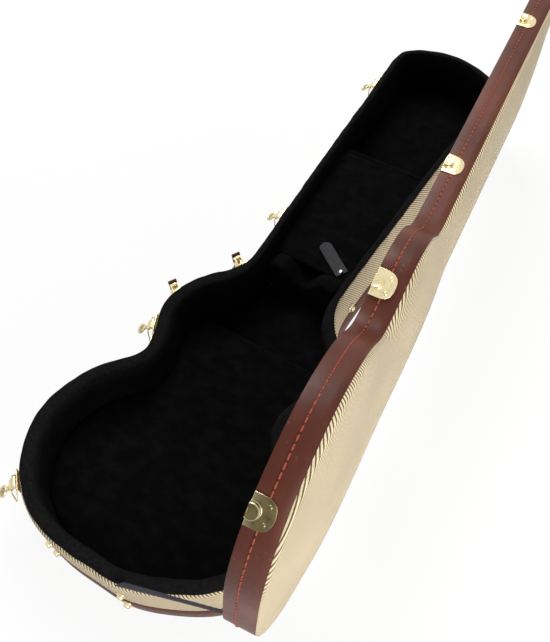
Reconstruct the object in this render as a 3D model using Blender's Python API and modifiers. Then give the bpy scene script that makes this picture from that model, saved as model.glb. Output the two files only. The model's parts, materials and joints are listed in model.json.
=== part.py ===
# Electric guitar case, open, as a set of separate pieces.
# Metres, +Z up. +Y runs from the tail to the head, -X is the front side with the latches
# and the handle, +X is the hinge side. The origin is on the ground at the middle of the length.
import math

import bmesh
import bpy
import numpy
from mathutils import Matrix, Vector

# Driving dimensions
LENGTH = 1.080
BASE_HEIGHT = 0.1030
LID_WALL = 0.0375
BODY_CROWN = 0.022
NECK_CROWN = 0.016
CROWN_CHANGE = (0.42, 0.54)
CROWN_RUN = (0.180, 0.230)
CROWN_POWER = 3
PANEL_SLACK = 0.0013
OPEN_ANGLE = math.radians(97.1)

# Half widths of the outline: distance from the tail, front side, hinge side
OUTLINE = (
    (0.000, 0.000, 0.000), (0.002, 0.062, 0.050), (0.020, 0.120, 0.104), (0.069, 0.174, 0.177),
    (0.133, 0.197, 0.197), (0.191, 0.188, 0.188), (0.241, 0.159, 0.159), (0.284, 0.127, 0.127),
    (0.323, 0.137, 0.137), (0.360, 0.150, 0.149), (0.398, 0.145, 0.146), (0.441, 0.119, 0.114),
    (0.480, 0.085, 0.089), (0.529, 0.080, 0.085), (0.592, 0.084, 0.088), (0.704, 0.090, 0.093),
    (0.864, 0.096, 0.102), (0.986, 0.101, 0.112), (1.046, 0.094, 0.096), (1.068, 0.062, 0.058),
    (1.080, 0.000, 0.000),
)
ROWS = 31
BEND_WEIGHT = 0.050

# Build-up of the walls, measured inwards from the outline
GAP = 0.0003
SKIN = 0.0010
PLY = 0.0040
PLY_IN = SKIN + GAP
PLY_BACK = PLY_IN + PLY
PAD_IN = PLY_BACK + GAP
BODY_PAD = 0.0220
NECK_PAD = 0.0130
LID_PAD = 0.0120
PAD_CHANGE = (0.445, 0.512)
BOTTOM_SKIN = 0.0011
FLOOR = 0.0057
SEAM = 0.0300
TRIM_OUT = -0.0006
ROLL_TOP = BASE_HEIGHT - 0.0003
ROLL_R = 0.0055
ROLL_STEPS = 3
PAD_BACK = 0.0058
RIM_GAP = 0.0006
LID_BOTTOM = BASE_HEIGHT + RIM_GAP
RIM_PLANE = BASE_HEIGHT + RIM_GAP / 2

# Places along the inside, measured from the tail
BODY_PAD_END = 0.403
BODY_PAD_TOP = 0.030
WELL_TOP = 0.0095
CRADLE = (0.5155, 0.5455)
CRADLE_TOP = 0.077
CRADLE_NOTCH = 0.030
BOX_START = 0.5460
DIVIDER = (0.7923, 0.8010)
BOX_LID_TOP = 0.0702
BOX_LID_THICK = 0.0040
BOX_LEDGE = (0.0570, 0.0658)
HEAD_FLOOR_TOP = 0.0105

# Hinges
PIN_OUT = 0.0045
KNUCKLE_R = 0.0032
BORE_R = 0.00175
PIN_R = 0.0014
LEAF = (0.00035, 0.00175)
LEAF_HEIGHT = 0.025
KNUCKLE_SPACE = 0.0004
HINGE_LENGTHS = {"body": 0.056, "head": 0.038}

# Latches
LATCH_STATIONS = (0.043, 0.331, 0.601, 0.950)
LEVER_PIVOT = Vector((0.0066, 0, -0.0120))
BAIL_PIVOT = Vector((-0.0015, 0, -0.0100))
BAIL_LENGTH = 0.03334
BAIL_HALF = 0.0104
LEVER_OPEN = math.radians(50)
BAIL_REST = math.radians(6)
THUMB_OUT = 0.029
KEEPER_HALF = 0.018

# Handle: its two pivots from the tail end of the grip to the head end
HANDLE_ENDS = (Vector((-0.167, 0.396)), Vector((-0.102, 0.498)))
HANDLE_DROP = 0.0160
GRIP_R = 0.0085
BRACKET_STEPS = 400

# Studs: along X from the middle of the tail, height
STUD_R = 0.0075
TAIL_STUDS = ((-0.080, 0.047), (-0.080, 0.0105), (0.048, 0.050), (0.048, 0.0105))
SIDE_STUDS = (0.526, 0.766)
SIDE_STUD_HEIGHT = 0.038

# Pull tab on the compartment's lid and the stay ribbon at the tail
TAB_RIVET = Vector((0.049, 0.559))
TAB_END = Vector((0.004, 0.588))
STAY_BASE = Vector((0.057, 0.0065))
STAY_LID = Vector((0.045, 0.0065))

FINISHES = {
    "tweed": ((0.62, 0.53, 0.31), 0.85, 0.0),
    "leatherette": ((0.17, 0.07, 0.045), 0.45, 0.0),
    "plywood": ((0.55, 0.38, 0.2), 0.7, 0.0),
    "plush": ((0.008, 0.008, 0.010), 0.95, 0.0),
    "brass": ((0.80, 0.62, 0.30), 0.25, 1.0),
    "leather": ((0.12, 0.05, 0.03), 0.5, 0.0),
    "ribbon": ((0.05, 0.05, 0.06), 0.8, 0.0),
}


def clear_scene():
    for thing in list(bpy.data.objects):
        bpy.data.objects.remove(thing, do_unlink=True)


def make_collection(name):
    group = bpy.data.collections.new(name)
    bpy.context.scene.collection.children.link(group)
    return group


def finish(name):
    made = bpy.data.materials.get(name)
    if made:
        return made
    colour, roughness, metallic = FINISHES[name]
    made = bpy.data.materials.new(name)
    made.use_nodes = True
    shader = made.node_tree.nodes["Principled BSDF"]
    shader.inputs["Base Color"].default_value = (*colour, 1)
    shader.inputs["Roughness"].default_value = roughness
    shader.inputs["Metallic"].default_value = metallic
    return made


def add_piece(name, mesh, material, smooth=True):
    thing = bpy.data.objects.new(name, mesh)
    parts.objects.link(thing)
    if not mesh.materials:
        mesh.materials.append(finish(material))
    if smooth:
        mesh.shade_smooth()
        mesh.set_sharp_from_angle(angle=math.radians(35))
    return thing


def slope_rules(knots, values):
    # The equations for the slopes of the smoothest curve through the values
    count = len(knots)
    steps = numpy.diff(knots)
    matrix = numpy.zeros((count, count))
    right = numpy.zeros(count)
    for k in range(1, count - 1):
        before, after = steps[k - 1], steps[k]
        matrix[k, k - 1 : k + 2] = (1 / before, 2 / before + 2 / after, 1 / after)
        right[k] = 3 * ((values[k] - values[k - 1]) / before**2 + (values[k + 1] - values[k]) / after**2)
    matrix[0, 0] = matrix[-1, -1] = 1
    return right, matrix


class Side:
    # One side of the outline, as a smooth curve from the tail (0) to the head (1)
    def __init__(self, column, sign):
        points = numpy.array([(sign * row[column], row[0]) for row in OUTLINE])
        middle = numpy.array([((row[1] + row[2]) / 2, row[0]) for row in OUTLINE])
        lengths = numpy.hypot(*numpy.diff(middle, axis=0).T)
        self.knots = numpy.concatenate(([0], numpy.cumsum(lengths)))
        self.points = points
        slopes = []
        for axis in (0, 1):
            right, matrix = slope_rules(self.knots, points[:, axis])
            ends = (sign, -sign) if axis == 0 else (0, 0)
            right[0], right[-1] = ends
            slopes.append(numpy.linalg.solve(matrix, right))
        self.slopes = numpy.array(slopes).T

    def at(self, where):
        place = where * self.knots[-1]
        k = int(min(max(numpy.searchsorted(self.knots, place) - 1, 0), len(self.knots) - 2))
        step = self.knots[k + 1] - self.knots[k]
        t = (place - self.knots[k]) / step
        a, b = self.points[k], self.points[k + 1]
        p, q = self.slopes[k] * step, self.slopes[k + 1] * step
        here = a + t * p + t * t * (3 * (b - a) - 2 * p - q) + t**3 * (2 * (a - b) + p + q)
        return Vector((here[0], here[1] - LENGTH / 2))

    def inward(self, where):
        ahead = self.at(min(where + 1e-4, 1)) - self.at(max(where - 1e-4, 0))
        turned = Vector((-ahead.y, ahead.x)).normalized()
        return turned if self.points[3][0] > 0 else -turned

    def point(self, where, inset=0.0):
        return self.at(where) + self.inward(where) * inset


def spread_rows():
    # Rows closer together where the outline bends
    fine = numpy.linspace(0, 1, 1201)
    points = numpy.array([(FRONT.at(t) - HINGED.at(t)) for t in fine])
    middle = numpy.array([((p.x * -1), 0) for p in (FRONT.at(t) for t in fine)])
    middle[:, 1] = [FRONT.at(t).y for t in fine]
    ahead = numpy.diff(middle, axis=0)
    turn = numpy.abs(numpy.diff(numpy.unwrap(numpy.arctan2(ahead[:, 1], ahead[:, 0]))))
    weight = numpy.hypot(*ahead.T)[1:] + BEND_WEIGHT * turn
    total = numpy.concatenate(([0, 0], numpy.cumsum(weight)))
    wanted = numpy.linspace(0, total[-1], ROWS + 1)
    rows = numpy.interp(wanted, total, fine)
    rows[0], rows[-1] = 0, 1
    return [float(r) for r in rows]


def smoothstep(value, low, high):
    t = min(max((value - low) / (high - low), 0), 1)
    return t * t * (3 - 2 * t)


def pad_depth(y):
    # The padding thins from the body to the neck
    change = smoothstep(y + LENGTH / 2, *PAD_CHANGE)
    return BODY_PAD + (NECK_PAD - BODY_PAD) * change


def facet(side, where, inset=0.0):
    # A place on the flat facet between two rows of the outline
    k = max(n for n in range(ROWS) if STATIONS[n] <= where or n == 0)
    low, high = STATIONS[k], STATIONS[k + 1]
    return side.point(low, inset).lerp(side.point(high, inset), (where - low) / (high - low))


def loop_places():
    # Every place around the outline: up the hinge side, down the front side
    up = [(HINGED, t) for t in STATIONS[:-1]]
    down = [(FRONT, t) for t in reversed(STATIONS[1:])]
    return up + down


def inset_loop(inset):
    # The outline moved inwards, by a number or by a function of y
    corners = []
    for side, where in loop_places():
        depth = inset(side.at(where).y) if callable(inset) else inset
        corners.append(side.point(where, depth))
    return corners


def crown(where, x):
    # Height of the lid's outer face above the lid's bottom
    low, high = FRONT.at(where), HINGED.at(where)
    width = high.x - low.x
    across = (2 * x - low.x - high.x) / width if width > 1e-6 else 1
    from_tail = low.y + LENGTH / 2
    ends = min(from_tail / CROWN_RUN[0], (LENGTH - from_tail) / CROWN_RUN[1], 1)
    rise = 1 - (1 - ends) ** 2
    top = BODY_CROWN + (NECK_CROWN - BODY_CROWN) * smoothstep(from_tail, *CROWN_CHANGE)
    return LID_WALL + top * rise * max(1 - abs(across) ** CROWN_POWER, 0)


def mesh_from(name, corners, faces):
    mesh = bpy.data.meshes.new(name)
    mesh.from_pydata([tuple(c) for c in corners], [], faces)
    work = bmesh.new()
    work.from_mesh(mesh)
    bmesh.ops.recalc_face_normals(work, faces=work.faces)
    work.to_mesh(mesh)
    work.free()
    return mesh


def ring(name, section, material):
    # A wall around the outline; each section corner is (inset, height), either of them a function
    places = loop_places()
    corners = []
    for inset, height in section:
        for side, where in places:
            y = side.at(where).y
            depth = inset(y) if callable(inset) else inset
            flat = side.point(where, depth)
            z = height(where, flat.x) if callable(height) else height
            corners.append((flat.x, flat.y, z))
    count = len(places)
    faces = []
    for level in range(len(section)):
        following = (level + 1) % len(section)
        for k in range(count):
            after = (k + 1) % count
            a, b = level * count, following * count
            faces.append((a + k, a + after, b + after, b + k))
    return add_piece(name, mesh_from(name, corners, faces), material)


def domed_panel(name, inset, drop, thickness, material, columns=6):
    # A panel under the lid's arch: a grid of rows, closed by a second grid below it
    corners = []
    faces = []
    rows = STATIONS[1:-1]
    for depth in (drop, drop + thickness):
        start = len(corners)
        for where in rows:
            a, b = FRONT.point(where, inset), HINGED.point(where, inset)
            for c in range(columns + 1):
                flat = a.lerp(b, c / columns)
                corners.append((flat.x, flat.y, LID_BOTTOM + crown(where, flat.x) - depth))
        for where, side in ((0, FRONT), (1, HINGED)):
            flat = side.point(where, inset)
            corners.append((flat.x, flat.y, LID_BOTTOM + LID_WALL - depth))
        wide = columns + 1
        tail = start + len(rows) * wide
        for r in range(len(rows) - 1):
            for c in range(columns):
                k = start + r * wide + c
                faces.append((k, k + 1, k + wide + 1, k + wide))
        for c in range(columns):
            faces.append((tail, start + c + 1, start + c))
            last = start + (len(rows) - 1) * wide + c
            faces.append((tail + 1, last, last + 1))
    total = len(corners) // 2
    wide = columns + 1
    front_edge = [r * wide for r in range(len(rows))]
    hinge_edge = [r * wide + columns for r in range(len(rows))]
    edge = [len(rows) * wide] + hinge_edge + [len(rows) * wide + 1] + front_edge[::-1]
    for k, corner in enumerate(edge):
        after = edge[(k + 1) % len(edge)]
        faces.append((corner, after, after + total, corner + total))
    return add_piece(name, mesh_from(name, corners, faces), material)


def plate_mesh(points, low, high):
    # A flat outline in X and Y, filled, from the height low to the height high
    curve = bpy.data.curves.new("outline", "CURVE")
    curve.dimensions = "2D"
    curve.fill_mode = "BOTH"
    curve.extrude = (high - low) / 2
    line = curve.splines.new("POLY")
    line.points.add(len(points) - 1)
    for spot, point in zip(line.points, points):
        spot.co = (point[0], point[1], 0, 1)
    line.use_cyclic_u = True
    return curve_mesh(curve, Matrix.Translation((0, 0, (low + high) / 2)))


def curve_mesh(curve, placing):
    holder = bpy.data.objects.new("holder", curve)
    bpy.context.scene.collection.objects.link(holder)
    bpy.context.view_layer.update()
    graph = bpy.context.evaluated_depsgraph_get()
    mesh = bpy.data.meshes.new_from_object(holder.evaluated_get(graph))
    bpy.data.objects.remove(holder, do_unlink=True)
    work = bmesh.new()
    work.from_mesh(mesh)
    bmesh.ops.remove_doubles(work, verts=work.verts, dist=1e-6)
    bmesh.ops.recalc_face_normals(work, faces=work.faces)
    work.to_mesh(mesh)
    work.free()
    mesh.materials.clear()
    mesh.transform(placing)
    return mesh


def wire_mesh(points, radius, closed=False, sides=2):
    curve = bpy.data.curves.new("wire", "CURVE")
    curve.dimensions = "3D"
    curve.bevel_depth = radius
    curve.bevel_resolution = sides
    curve.use_fill_caps = not closed
    line = curve.splines.new("POLY")
    line.points.add(len(points) - 1)
    for spot, point in zip(line.points, points):
        spot.co = (*point, 1)
    line.use_cyclic_u = closed
    return curve_mesh(curve, Matrix())


def rod_mesh(radius, start, end, segments=16):
    start, end = Vector(start), Vector(end)
    along = end - start
    work = bmesh.new()
    turn = along.to_track_quat("Z", "Y").to_matrix().to_4x4()
    placing = Matrix.Translation((start + end) / 2) @ turn
    bmesh.ops.create_cone(
        work,
        cap_ends=True,
        segments=segments,
        radius1=radius,
        radius2=radius,
        depth=along.length,
        matrix=placing,
    )
    mesh = bpy.data.meshes.new("rod")
    work.to_mesh(mesh)
    work.free()
    return mesh


def box_mesh(low, high):
    low, high = Vector(low), Vector(high)
    work = bmesh.new()
    bmesh.ops.create_cube(work, size=1)
    size = high - low
    bmesh.ops.scale(work, vec=size, verts=work.verts)
    bmesh.ops.translate(work, vec=(low + high) / 2, verts=work.verts)
    mesh = bpy.data.meshes.new("box")
    work.to_mesh(mesh)
    work.free()
    return mesh


def turned_mesh(profile, segments=14):
    # A round piece about Z; the profile runs from the top of the axis down its outer side
    mesh = bpy.data.meshes.new("profile")
    mesh.from_pydata([(r, 0, z) for r, z in profile], [(k, k + 1) for k in range(len(profile) - 1)], [])
    holder = bpy.data.objects.new("holder", mesh)
    bpy.context.scene.collection.objects.link(holder)
    screw = holder.modifiers.new("Screw", "SCREW")
    screw.steps = segments
    screw.render_steps = segments
    screw.use_merge_vertices = True
    screw.merge_threshold = 0.00001
    bpy.context.view_layer.update()
    graph = bpy.context.evaluated_depsgraph_get()
    turned = bpy.data.meshes.new_from_object(holder.evaluated_get(graph))
    bpy.data.objects.remove(holder, do_unlink=True)
    return turned


def merge(start, added=(), cut=()):
    # Joins meshes into one solid and cuts others out of it
    holder = bpy.data.objects.new("holder", start)
    parts.objects.link(holder)
    tools = [("UNION", mesh) for mesh in added] + [("DIFFERENCE", mesh) for mesh in cut]
    made = []
    for operation, mesh in tools:
        tool = bpy.data.objects.new("tool", mesh)
        tool.hide_render = True
        tool.display_type = "WIRE"
        cutters.objects.link(tool)
        made.append(tool)
        step = holder.modifiers.new(operation, "BOOLEAN")
        step.operation = operation
        step.solver = "EXACT"
        step.object = tool
    bpy.context.view_layer.update()
    graph = bpy.context.evaluated_depsgraph_get()
    joined = bpy.data.meshes.new_from_object(holder.evaluated_get(graph))
    for thing in [holder] + made:
        bpy.data.objects.remove(thing, do_unlink=True)
    joined.materials.clear()
    return joined


def moved(mesh, matrix):
    mesh.transform(matrix)
    return mesh


# Turns a plate from lying flat to standing on a wall: its X along the wall, its Y up
STANDING = Matrix(((0, 0, 1, 0), (1, 0, 0, 0), (0, 1, 0, 0), (0, 0, 0, 1)))
# Turns a round piece's axis from up to outwards
OUTWARDS = Matrix(((0, 0, 1, 0), (0, 1, 0, 0), (-1, 0, 0, 0), (0, 0, 0, 1)))


def rivet(along, up, face, radius=0.0026, rise=0.0011):
    # A low round head on the wall at (along, up), sunk a little into the face it sits on
    profile = ((0, rise), (radius * 0.7, rise * 0.75), (radius, -0.0005), (0, -0.0005))
    seat = Matrix.Translation((face, along, up)) @ OUTWARDS
    return moved(turned_mesh(profile, 8), seat)


def clip_loop(corners, low, high):
    # Keeps the part of a closed outline between two distances from the tail
    for limit, keep_above in ((low, True), (high, False)):
        limit -= LENGTH / 2
        kept = []
        for a, b in zip(corners, corners[1:] + corners[:1]):
            inside_a = (a.y >= limit) == keep_above
            inside_b = (b.y >= limit) == keep_above
            if inside_a:
                kept.append(a)
            if inside_a != inside_b:
                kept.append(a.lerp(b, (limit - a.y) / (b.y - a.y)))
        corners = kept
    return corners


def lining(name, inset, places, heights, material="plush"):
    corners = clip_loop(inset_loop(inset), *places)
    return add_piece(name, plate_mesh(corners, *heights), material)


def behind_pad(extra):
    return lambda y: pad_depth(y) + extra


def wall_at(side, distance):
    # The place on a side at a distance from the tail
    low, high = 0.0, 1.0
    for _ in range(40):
        middle = (low + high) / 2
        if side.at(middle).y + LENGTH / 2 < distance:
            low = middle
        else:
            high = middle
    return (low + high) / 2


def wall_frame(side, where, half_width):
    # A frame on the wall: X outwards, Y along the wall, set out past any bulge beside it
    here = side.at(where)
    outward = -side.inward(where)
    bulge = 0.0
    for step in range(-40, 41):
        near = facet(side, min(max(where + step * 0.001, 0), 1)) - here
        if near.length < half_width * 1.1:
            bulge = max(bulge, near.dot(outward))
    spot = here + outward * bulge
    yaw = math.atan2(outward.y, outward.x)
    return Matrix.Translation((spot.x, spot.y, RIM_PLANE)) @ Matrix.Rotation(yaw, 4, "Z")


def place(thing, frame):
    thing.location = frame.to_translation()
    thing.rotation_euler = frame.to_euler()


def rolled_edge(inset):
    # The rounded top of the base's wall, from its outer face inwards, one layer at the inset
    radius = ROLL_R - inset
    edge = []
    for k in range(ROLL_STEPS + 1):
        angle = math.pi / 2 * k / ROLL_STEPS
        edge.append((ROLL_R - radius * math.cos(angle), ROLL_TOP - ROLL_R + radius * math.sin(angle)))
    return edge


def add_base_shell():
    add_piece("base_bottom_cover", plate_mesh(inset_loop(PLY_IN), 0, BOTTOM_SKIN), "tweed")
    panel_low = BOTTOM_SKIN + GAP
    add_piece("base_bottom_panel", plate_mesh(inset_loop(PLY_IN), panel_low, panel_low + PLY), "plywood")
    frame = [(PLY_IN, FLOOR)] + rolled_edge(PLY_IN)[:-1]
    frame += [(PLY_BACK, ROLL_TOP - PLY_IN), (PLY_BACK, FLOOR)]
    ring("base_side_frame", frame, "plywood")
    cover_low = SEAM + GAP
    cover = [(0, cover_low)] + rolled_edge(0) + rolled_edge(SKIN)[::-1] + [(SKIN, cover_low)]
    ring("base_tweed_cover", cover, "tweed")
    trim = ((TRIM_OUT, 0), (TRIM_OUT, SEAM), (SKIN, SEAM), (SKIN, 0))
    ring("base_trim_strip", trim, "leatherette")
    padding = (
        (PAD_BACK, FLOOR), (PAD_BACK, ROLL_TOP - 0.0002), (PAD_BACK + 0.0012, BASE_HEIGHT),
        (lambda y: pad_depth(y) - 0.004, BASE_HEIGHT), (pad_depth, BASE_HEIGHT - 0.004), (pad_depth, FLOOR),
    )
    ring("base_wall_padding", padding, "plush")


def add_inside():
    touching = behind_pad(GAP)
    lining("body_floor_pad", touching, (0, BODY_PAD_END), (FLOOR, BODY_PAD_TOP))
    lining("well_floor_pad", touching, (BODY_PAD_END + GAP, CRADLE[0] - GAP), (FLOOR, WELL_TOP))
    lining("compartment_floor_pad", touching, (BOX_START, DIVIDER[0] - GAP), (FLOOR, WELL_TOP))
    lining("headstock_floor_pad", touching, (DIVIDER[1] + GAP, LENGTH), (FLOOR, HEAD_FLOOR_TOP))
    lining("compartment_divider", touching, DIVIDER, (FLOOR, BOX_LID_TOP - 0.0006))
    add_cradle()
    for name, side in (("front", FRONT), ("hinge", HINGED)):
        add_ledge("compartment_ledge_" + name, side)


def add_cradle():
    # A block across the neck with a hollow for the neck between two rounded lobes
    middle = (CRADLE[0] + CRADLE[1]) / 2
    front, hinged = wall_at(FRONT, middle), wall_at(HINGED, middle)
    inset = NECK_PAD + 0.0035
    left, right = FRONT.point(front, inset).x, HINGED.point(hinged, inset).x
    centre = (left + right) / 2 - 0.004
    top = []
    steps = 22
    for k in range(steps + 1):
        x = right + (left - right) * k / steps
        dip = 0.5 + 0.5 * math.cos(math.pi * min(abs(x - centre) / 0.040, 1))
        edge = min(x - left, right - x)
        fall = 0.010 * (1 - min(edge / 0.014, 1)) ** 2
        top.append((x, CRADLE_TOP - CRADLE_NOTCH * dip - fall))
    corners = [(left, FLOOR), (right, FLOOR)] + top
    mesh = plate_mesh(corners, -CRADLE[1] + LENGTH / 2, -CRADLE[0] + LENGTH / 2)
    add_piece("neck_cradle", moved(mesh, Matrix.Rotation(math.pi / 2, 4, "X")), "plush")


def add_ledge(name, side):
    # The strip on a wall that the compartment's lid rests on
    count = 8
    start, end = wall_at(side, BOX_START + 0.002), wall_at(side, DIVIDER[0] - 0.002)
    places = [start + (end - start) * k / count for k in range(count + 1)]
    outer = [side.point(t, pad_depth(side.at(t).y) + GAP) for t in places]
    inner = [side.point(t, pad_depth(side.at(t).y) + 0.008) for t in reversed(places)]
    add_piece(name, plate_mesh(outer + inner, *BOX_LEDGE), "plush")


def add_compartment_lid():
    # A hinged cover; its axis runs along the top of the divider
    axis_y = DIVIDER[0] - 0.0007 - LENGTH / 2
    axis = Vector((0, axis_y, BOX_LID_TOP + 0.0002))
    low = BOX_LID_TOP - BOX_LID_THICK
    corners = clip_loop(inset_loop(behind_pad(0.0016)), BOX_START + 0.0005, DIVIDER[0] - 0.0011)
    to_axis = Matrix.Translation(-axis)
    hinge = bpy.data.objects.new("compartment_lid_axis", None)
    parts.objects.link(hinge)
    hinge.location = axis
    lid = add_piece("compartment_lid", moved(plate_mesh(corners, low, BOX_LID_TOP), to_axis), "plush")
    lid.parent = hinge
    rivet_spot = Vector((TAB_RIVET.x, TAB_RIVET.y - LENGTH / 2, BOX_LID_TOP))
    tab_spot = Vector((TAB_END.x, TAB_END.y - LENGTH / 2, BOX_LID_TOP))
    tab = add_piece("pull_tab", tab_mesh(rivet_spot - axis, tab_spot - axis), "ribbon")
    tab.parent = hinge
    stud_profile = ((0, 0.0034), (0.0028, 0.0029), (0.0042, 0.0017), (0.0042, 0.0016), (0, 0.0016))
    stud = add_piece("pull_tab_rivet", turned_mesh(stud_profile, 14), "brass")
    stud.location = rivet_spot - axis
    stud.parent = hinge


def tab_mesh(start, end):
    # A flat strap lying back on the lid, rounded at its free end
    along = (end - start).normalized()
    across = Vector((-along.y, along.x, 0))
    half = 0.0105
    corners = [start - along * 0.0045 - across * half, end - across * half]
    for k in range(1, 8):
        angle = math.pi * k / 8 - math.pi / 2
        corners.append(end + along * half * math.cos(angle) + across * half * math.sin(angle))
    corners += [end + across * half, start - along * 0.0045 + across * half]
    return plate_mesh([(c.x, c.y) for c in corners], start.z + GAP, start.z + GAP + 0.0010)


def add_stay():
    # A flat ribbon, taut from the base's rim to the lid's rim
    base = Vector((STAY_BASE.x, STAY_BASE.y - LENGTH / 2, BASE_HEIGHT + 0.0008))
    closed = Vector((STAY_LID.x, STAY_LID.y - LENGTH / 2, LID_BOTTOM - 0.0008))
    top = lid_turned() @ closed
    along = top - base
    across = Vector((0, 1, 0)) - along.normalized() * along.normalized().y
    placing = Matrix.Translation(base) @ direction_matrix(along.normalized(), across.normalized())
    mesh = box_mesh((-0.0006, -0.0055, 0), (0.0006, 0.0055, along.length))
    strap = add_piece("stay_ribbon", mesh, "ribbon", smooth=False)
    place(strap, placing)


def direction_matrix(up, across):
    side = across.cross(up)
    return Matrix((side, across, up)).transposed().to_4x4()


def hinge_line():
    # The straight line that touches the hinge side at the body and at the head
    fine = [k / 1200 for k in range(1201)]
    body = [t for t in fine if HINGED.at(t).y < 0.400 - LENGTH / 2]
    head = [t for t in fine if HINGED.at(t).y > 0.850 - LENGTH / 2]
    outward = Vector((1, 0))
    for _ in range(8):
        low = max(body, key=lambda t: HINGED.at(t).dot(outward))
        high = max(head, key=lambda t: HINGED.at(t).dot(outward))
        along = (HINGED.at(high) - HINGED.at(low)).normalized()
        outward = Vector((along.y, -along.x))
    return HINGED.at(low), HINGED.at(high), along, outward


def lid_turned():
    # How the closed lid turns about its hinges to its open place
    low, _, along, outward = hinge_line()
    pivot = low + outward * PIN_OUT
    to_pivot = Matrix.Translation((pivot.x, pivot.y, RIM_PLANE))
    turn = Matrix.Rotation(OPEN_ANGLE, 4, Vector((along.x, along.y, 0)))
    return to_pivot @ turn @ to_pivot.inverted()


def add_lid_axis():
    low, _, along, outward = hinge_line()
    pivot = low + outward * PIN_OUT
    yaw = math.atan2(-along.x, along.y)
    axis = bpy.data.objects.new("lid_axis", None)
    parts.objects.link(axis)
    axis.location = (pivot.x, pivot.y, RIM_PLANE)
    axis.rotation_euler = (0, OPEN_ANGLE, yaw)
    closed = Matrix.Translation(axis.location) @ Matrix.Rotation(yaw, 4, "Z")
    return axis, closed.inverted()


def on_lid(thing, axis, inverse):
    thing.parent = axis
    thing.matrix_parent_inverse = inverse


def add_lid_shell():
    panel_drop = SKIN + GAP
    frame_top = panel_drop + PLY + GAP + PANEL_SLACK
    pad_drop = panel_drop + PLY + GAP
    band_top = LID_BOTTOM + LID_WALL - SKIN - GAP
    band = ((0, LID_BOTTOM), (0, band_top), (SKIN, band_top), (SKIN, LID_BOTTOM))

    def under_panel(where, x):
        return LID_BOTTOM + crown(where, x) - frame_top

    low = LID_BOTTOM + 0.0016
    frame = ((PLY_IN, low), (PLY_IN, under_panel), (PLY_BACK, under_panel), (PLY_BACK, low))
    padding = (
        (PAD_IN, LID_BOTTOM + 0.0013), (PAD_IN, lambda w, x: under_panel(w, x) - 0.0008),
        (LID_PAD, lambda w, x: under_panel(w, x) - 0.0008), (LID_PAD, LID_BOTTOM + 0.003),
        (LID_PAD - 0.003, LID_BOTTOM), (SKIN + 0.001, LID_BOTTOM), (SKIN + GAP, LID_BOTTOM + 0.0006),
        (SKIN + GAP, LID_BOTTOM + 0.0013),
    )
    pieces = [
        ring("lid_leather_band", band, "leatherette"),
        ring("lid_side_frame", frame, "plywood"),
        ring("lid_wall_padding", padding, "plush"),
        domed_panel("lid_tweed_cover", 0, 0, SKIN, "tweed"),
        domed_panel("lid_top_panel", PLY_IN, panel_drop, PLY, "plywood"),
        domed_panel("lid_top_padding", LID_PAD + 0.0008, pad_drop + 0.0020, 0.006, "plush"),
    ]
    return pieces


def add_hinge(name, touch, along, outward, axis, inverse):
    # Two leaves with knuckles that take turns on one pin
    length = HINGE_LENGTHS[name]
    part = length / 5
    yaw = math.atan2(outward.y, outward.x)
    frame = Matrix.Translation((touch.x, touch.y, RIM_PLANE)) @ Matrix.Rotation(yaw, 4, "Z")
    for leaf, direction, turns in (("base", -1, (0, 2, 4)), ("lid", 1, (1, 3))):
        near, far = sorted((direction * 0.0029, direction * LEAF_HEIGHT))
        plate = box_mesh((LEAF[0], -length / 2, near), (LEAF[1], length / 2, far))
        added = []
        for turn in turns:
            start = -length / 2 + part * turn + KNUCKLE_SPACE / 2
            end = start + part - KNUCKLE_SPACE
            low, high = sorted((direction * 0.0035, direction * -0.0011))
            added.append(box_mesh((LEAF[0], start, low), (LEAF[1], end, high)))
            added.append(rod_mesh(KNUCKLE_R, (PIN_OUT, start, 0), (PIN_OUT, end, 0), 14))
        for spot in (-0.36, 0.36):
            added.append(rivet(spot * length, direction * 0.011, LEAF[1]))
            added.append(rivet(spot * length * 0.8, direction * 0.020, LEAF[1]))
        bore = rod_mesh(BORE_R, (PIN_OUT, -length, 0), (PIN_OUT, length, 0), 12)
        piece = add_piece("hinge_" + name + "_" + leaf + "_leaf", merge(plate, added, [bore]), "brass")
        place(piece, frame)
        if leaf == "lid":
            on_lid(piece, axis, inverse)
    reach = length / 2 + 0.0008
    pin = rod_mesh(PIN_R, (PIN_OUT, -reach, 0), (PIN_OUT, reach, 0), 12)
    place(add_piece("hinge_" + name + "_pin", pin, "brass"), frame)


def shield(half, top, bottom, steps=8):
    # A plate outline in (along, up): straight at the end near the rim, round at the other
    corners = [(half, top), (-half, top)]
    straight = top + (bottom - top) * 0.42
    for k in range(steps + 1):
        angle = math.pi * k / steps
        corners.append((-half * math.cos(angle), straight + (bottom - straight) * math.sin(angle)))
    return corners


def latch_plate_mesh():
    plate = moved(plate_mesh(shield(0.015, -0.004, -0.034), 0.00035, 0.00155), STANDING)
    added = []
    for sign in (-1, 1):
        near, far = sorted((sign * 0.0078, sign * 0.0090))
        x, z = LEVER_PIVOT.x, LEVER_PIVOT.z
        added.append(box_mesh((0.0010, near, z - 0.0036), (x, far, z + 0.0036)))
        added.append(rod_mesh(0.0036, (x, near, z), (x, far, z), 12))
        added.append(rivet(sign * 0.0118, -0.0085, 0.00155, 0.0022))
    added.append(rivet(-0.0085, -0.0270, 0.00155, 0.0022))
    added.append(rivet(0.0085, -0.0270, 0.00155, 0.0022))
    reach = Vector((0, 0.00905, 0))
    pin = rod_mesh(0.00125, LEVER_PIVOT - reach, LEVER_PIVOT + reach, 12)
    return merge(plate, added + [pin])


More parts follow.
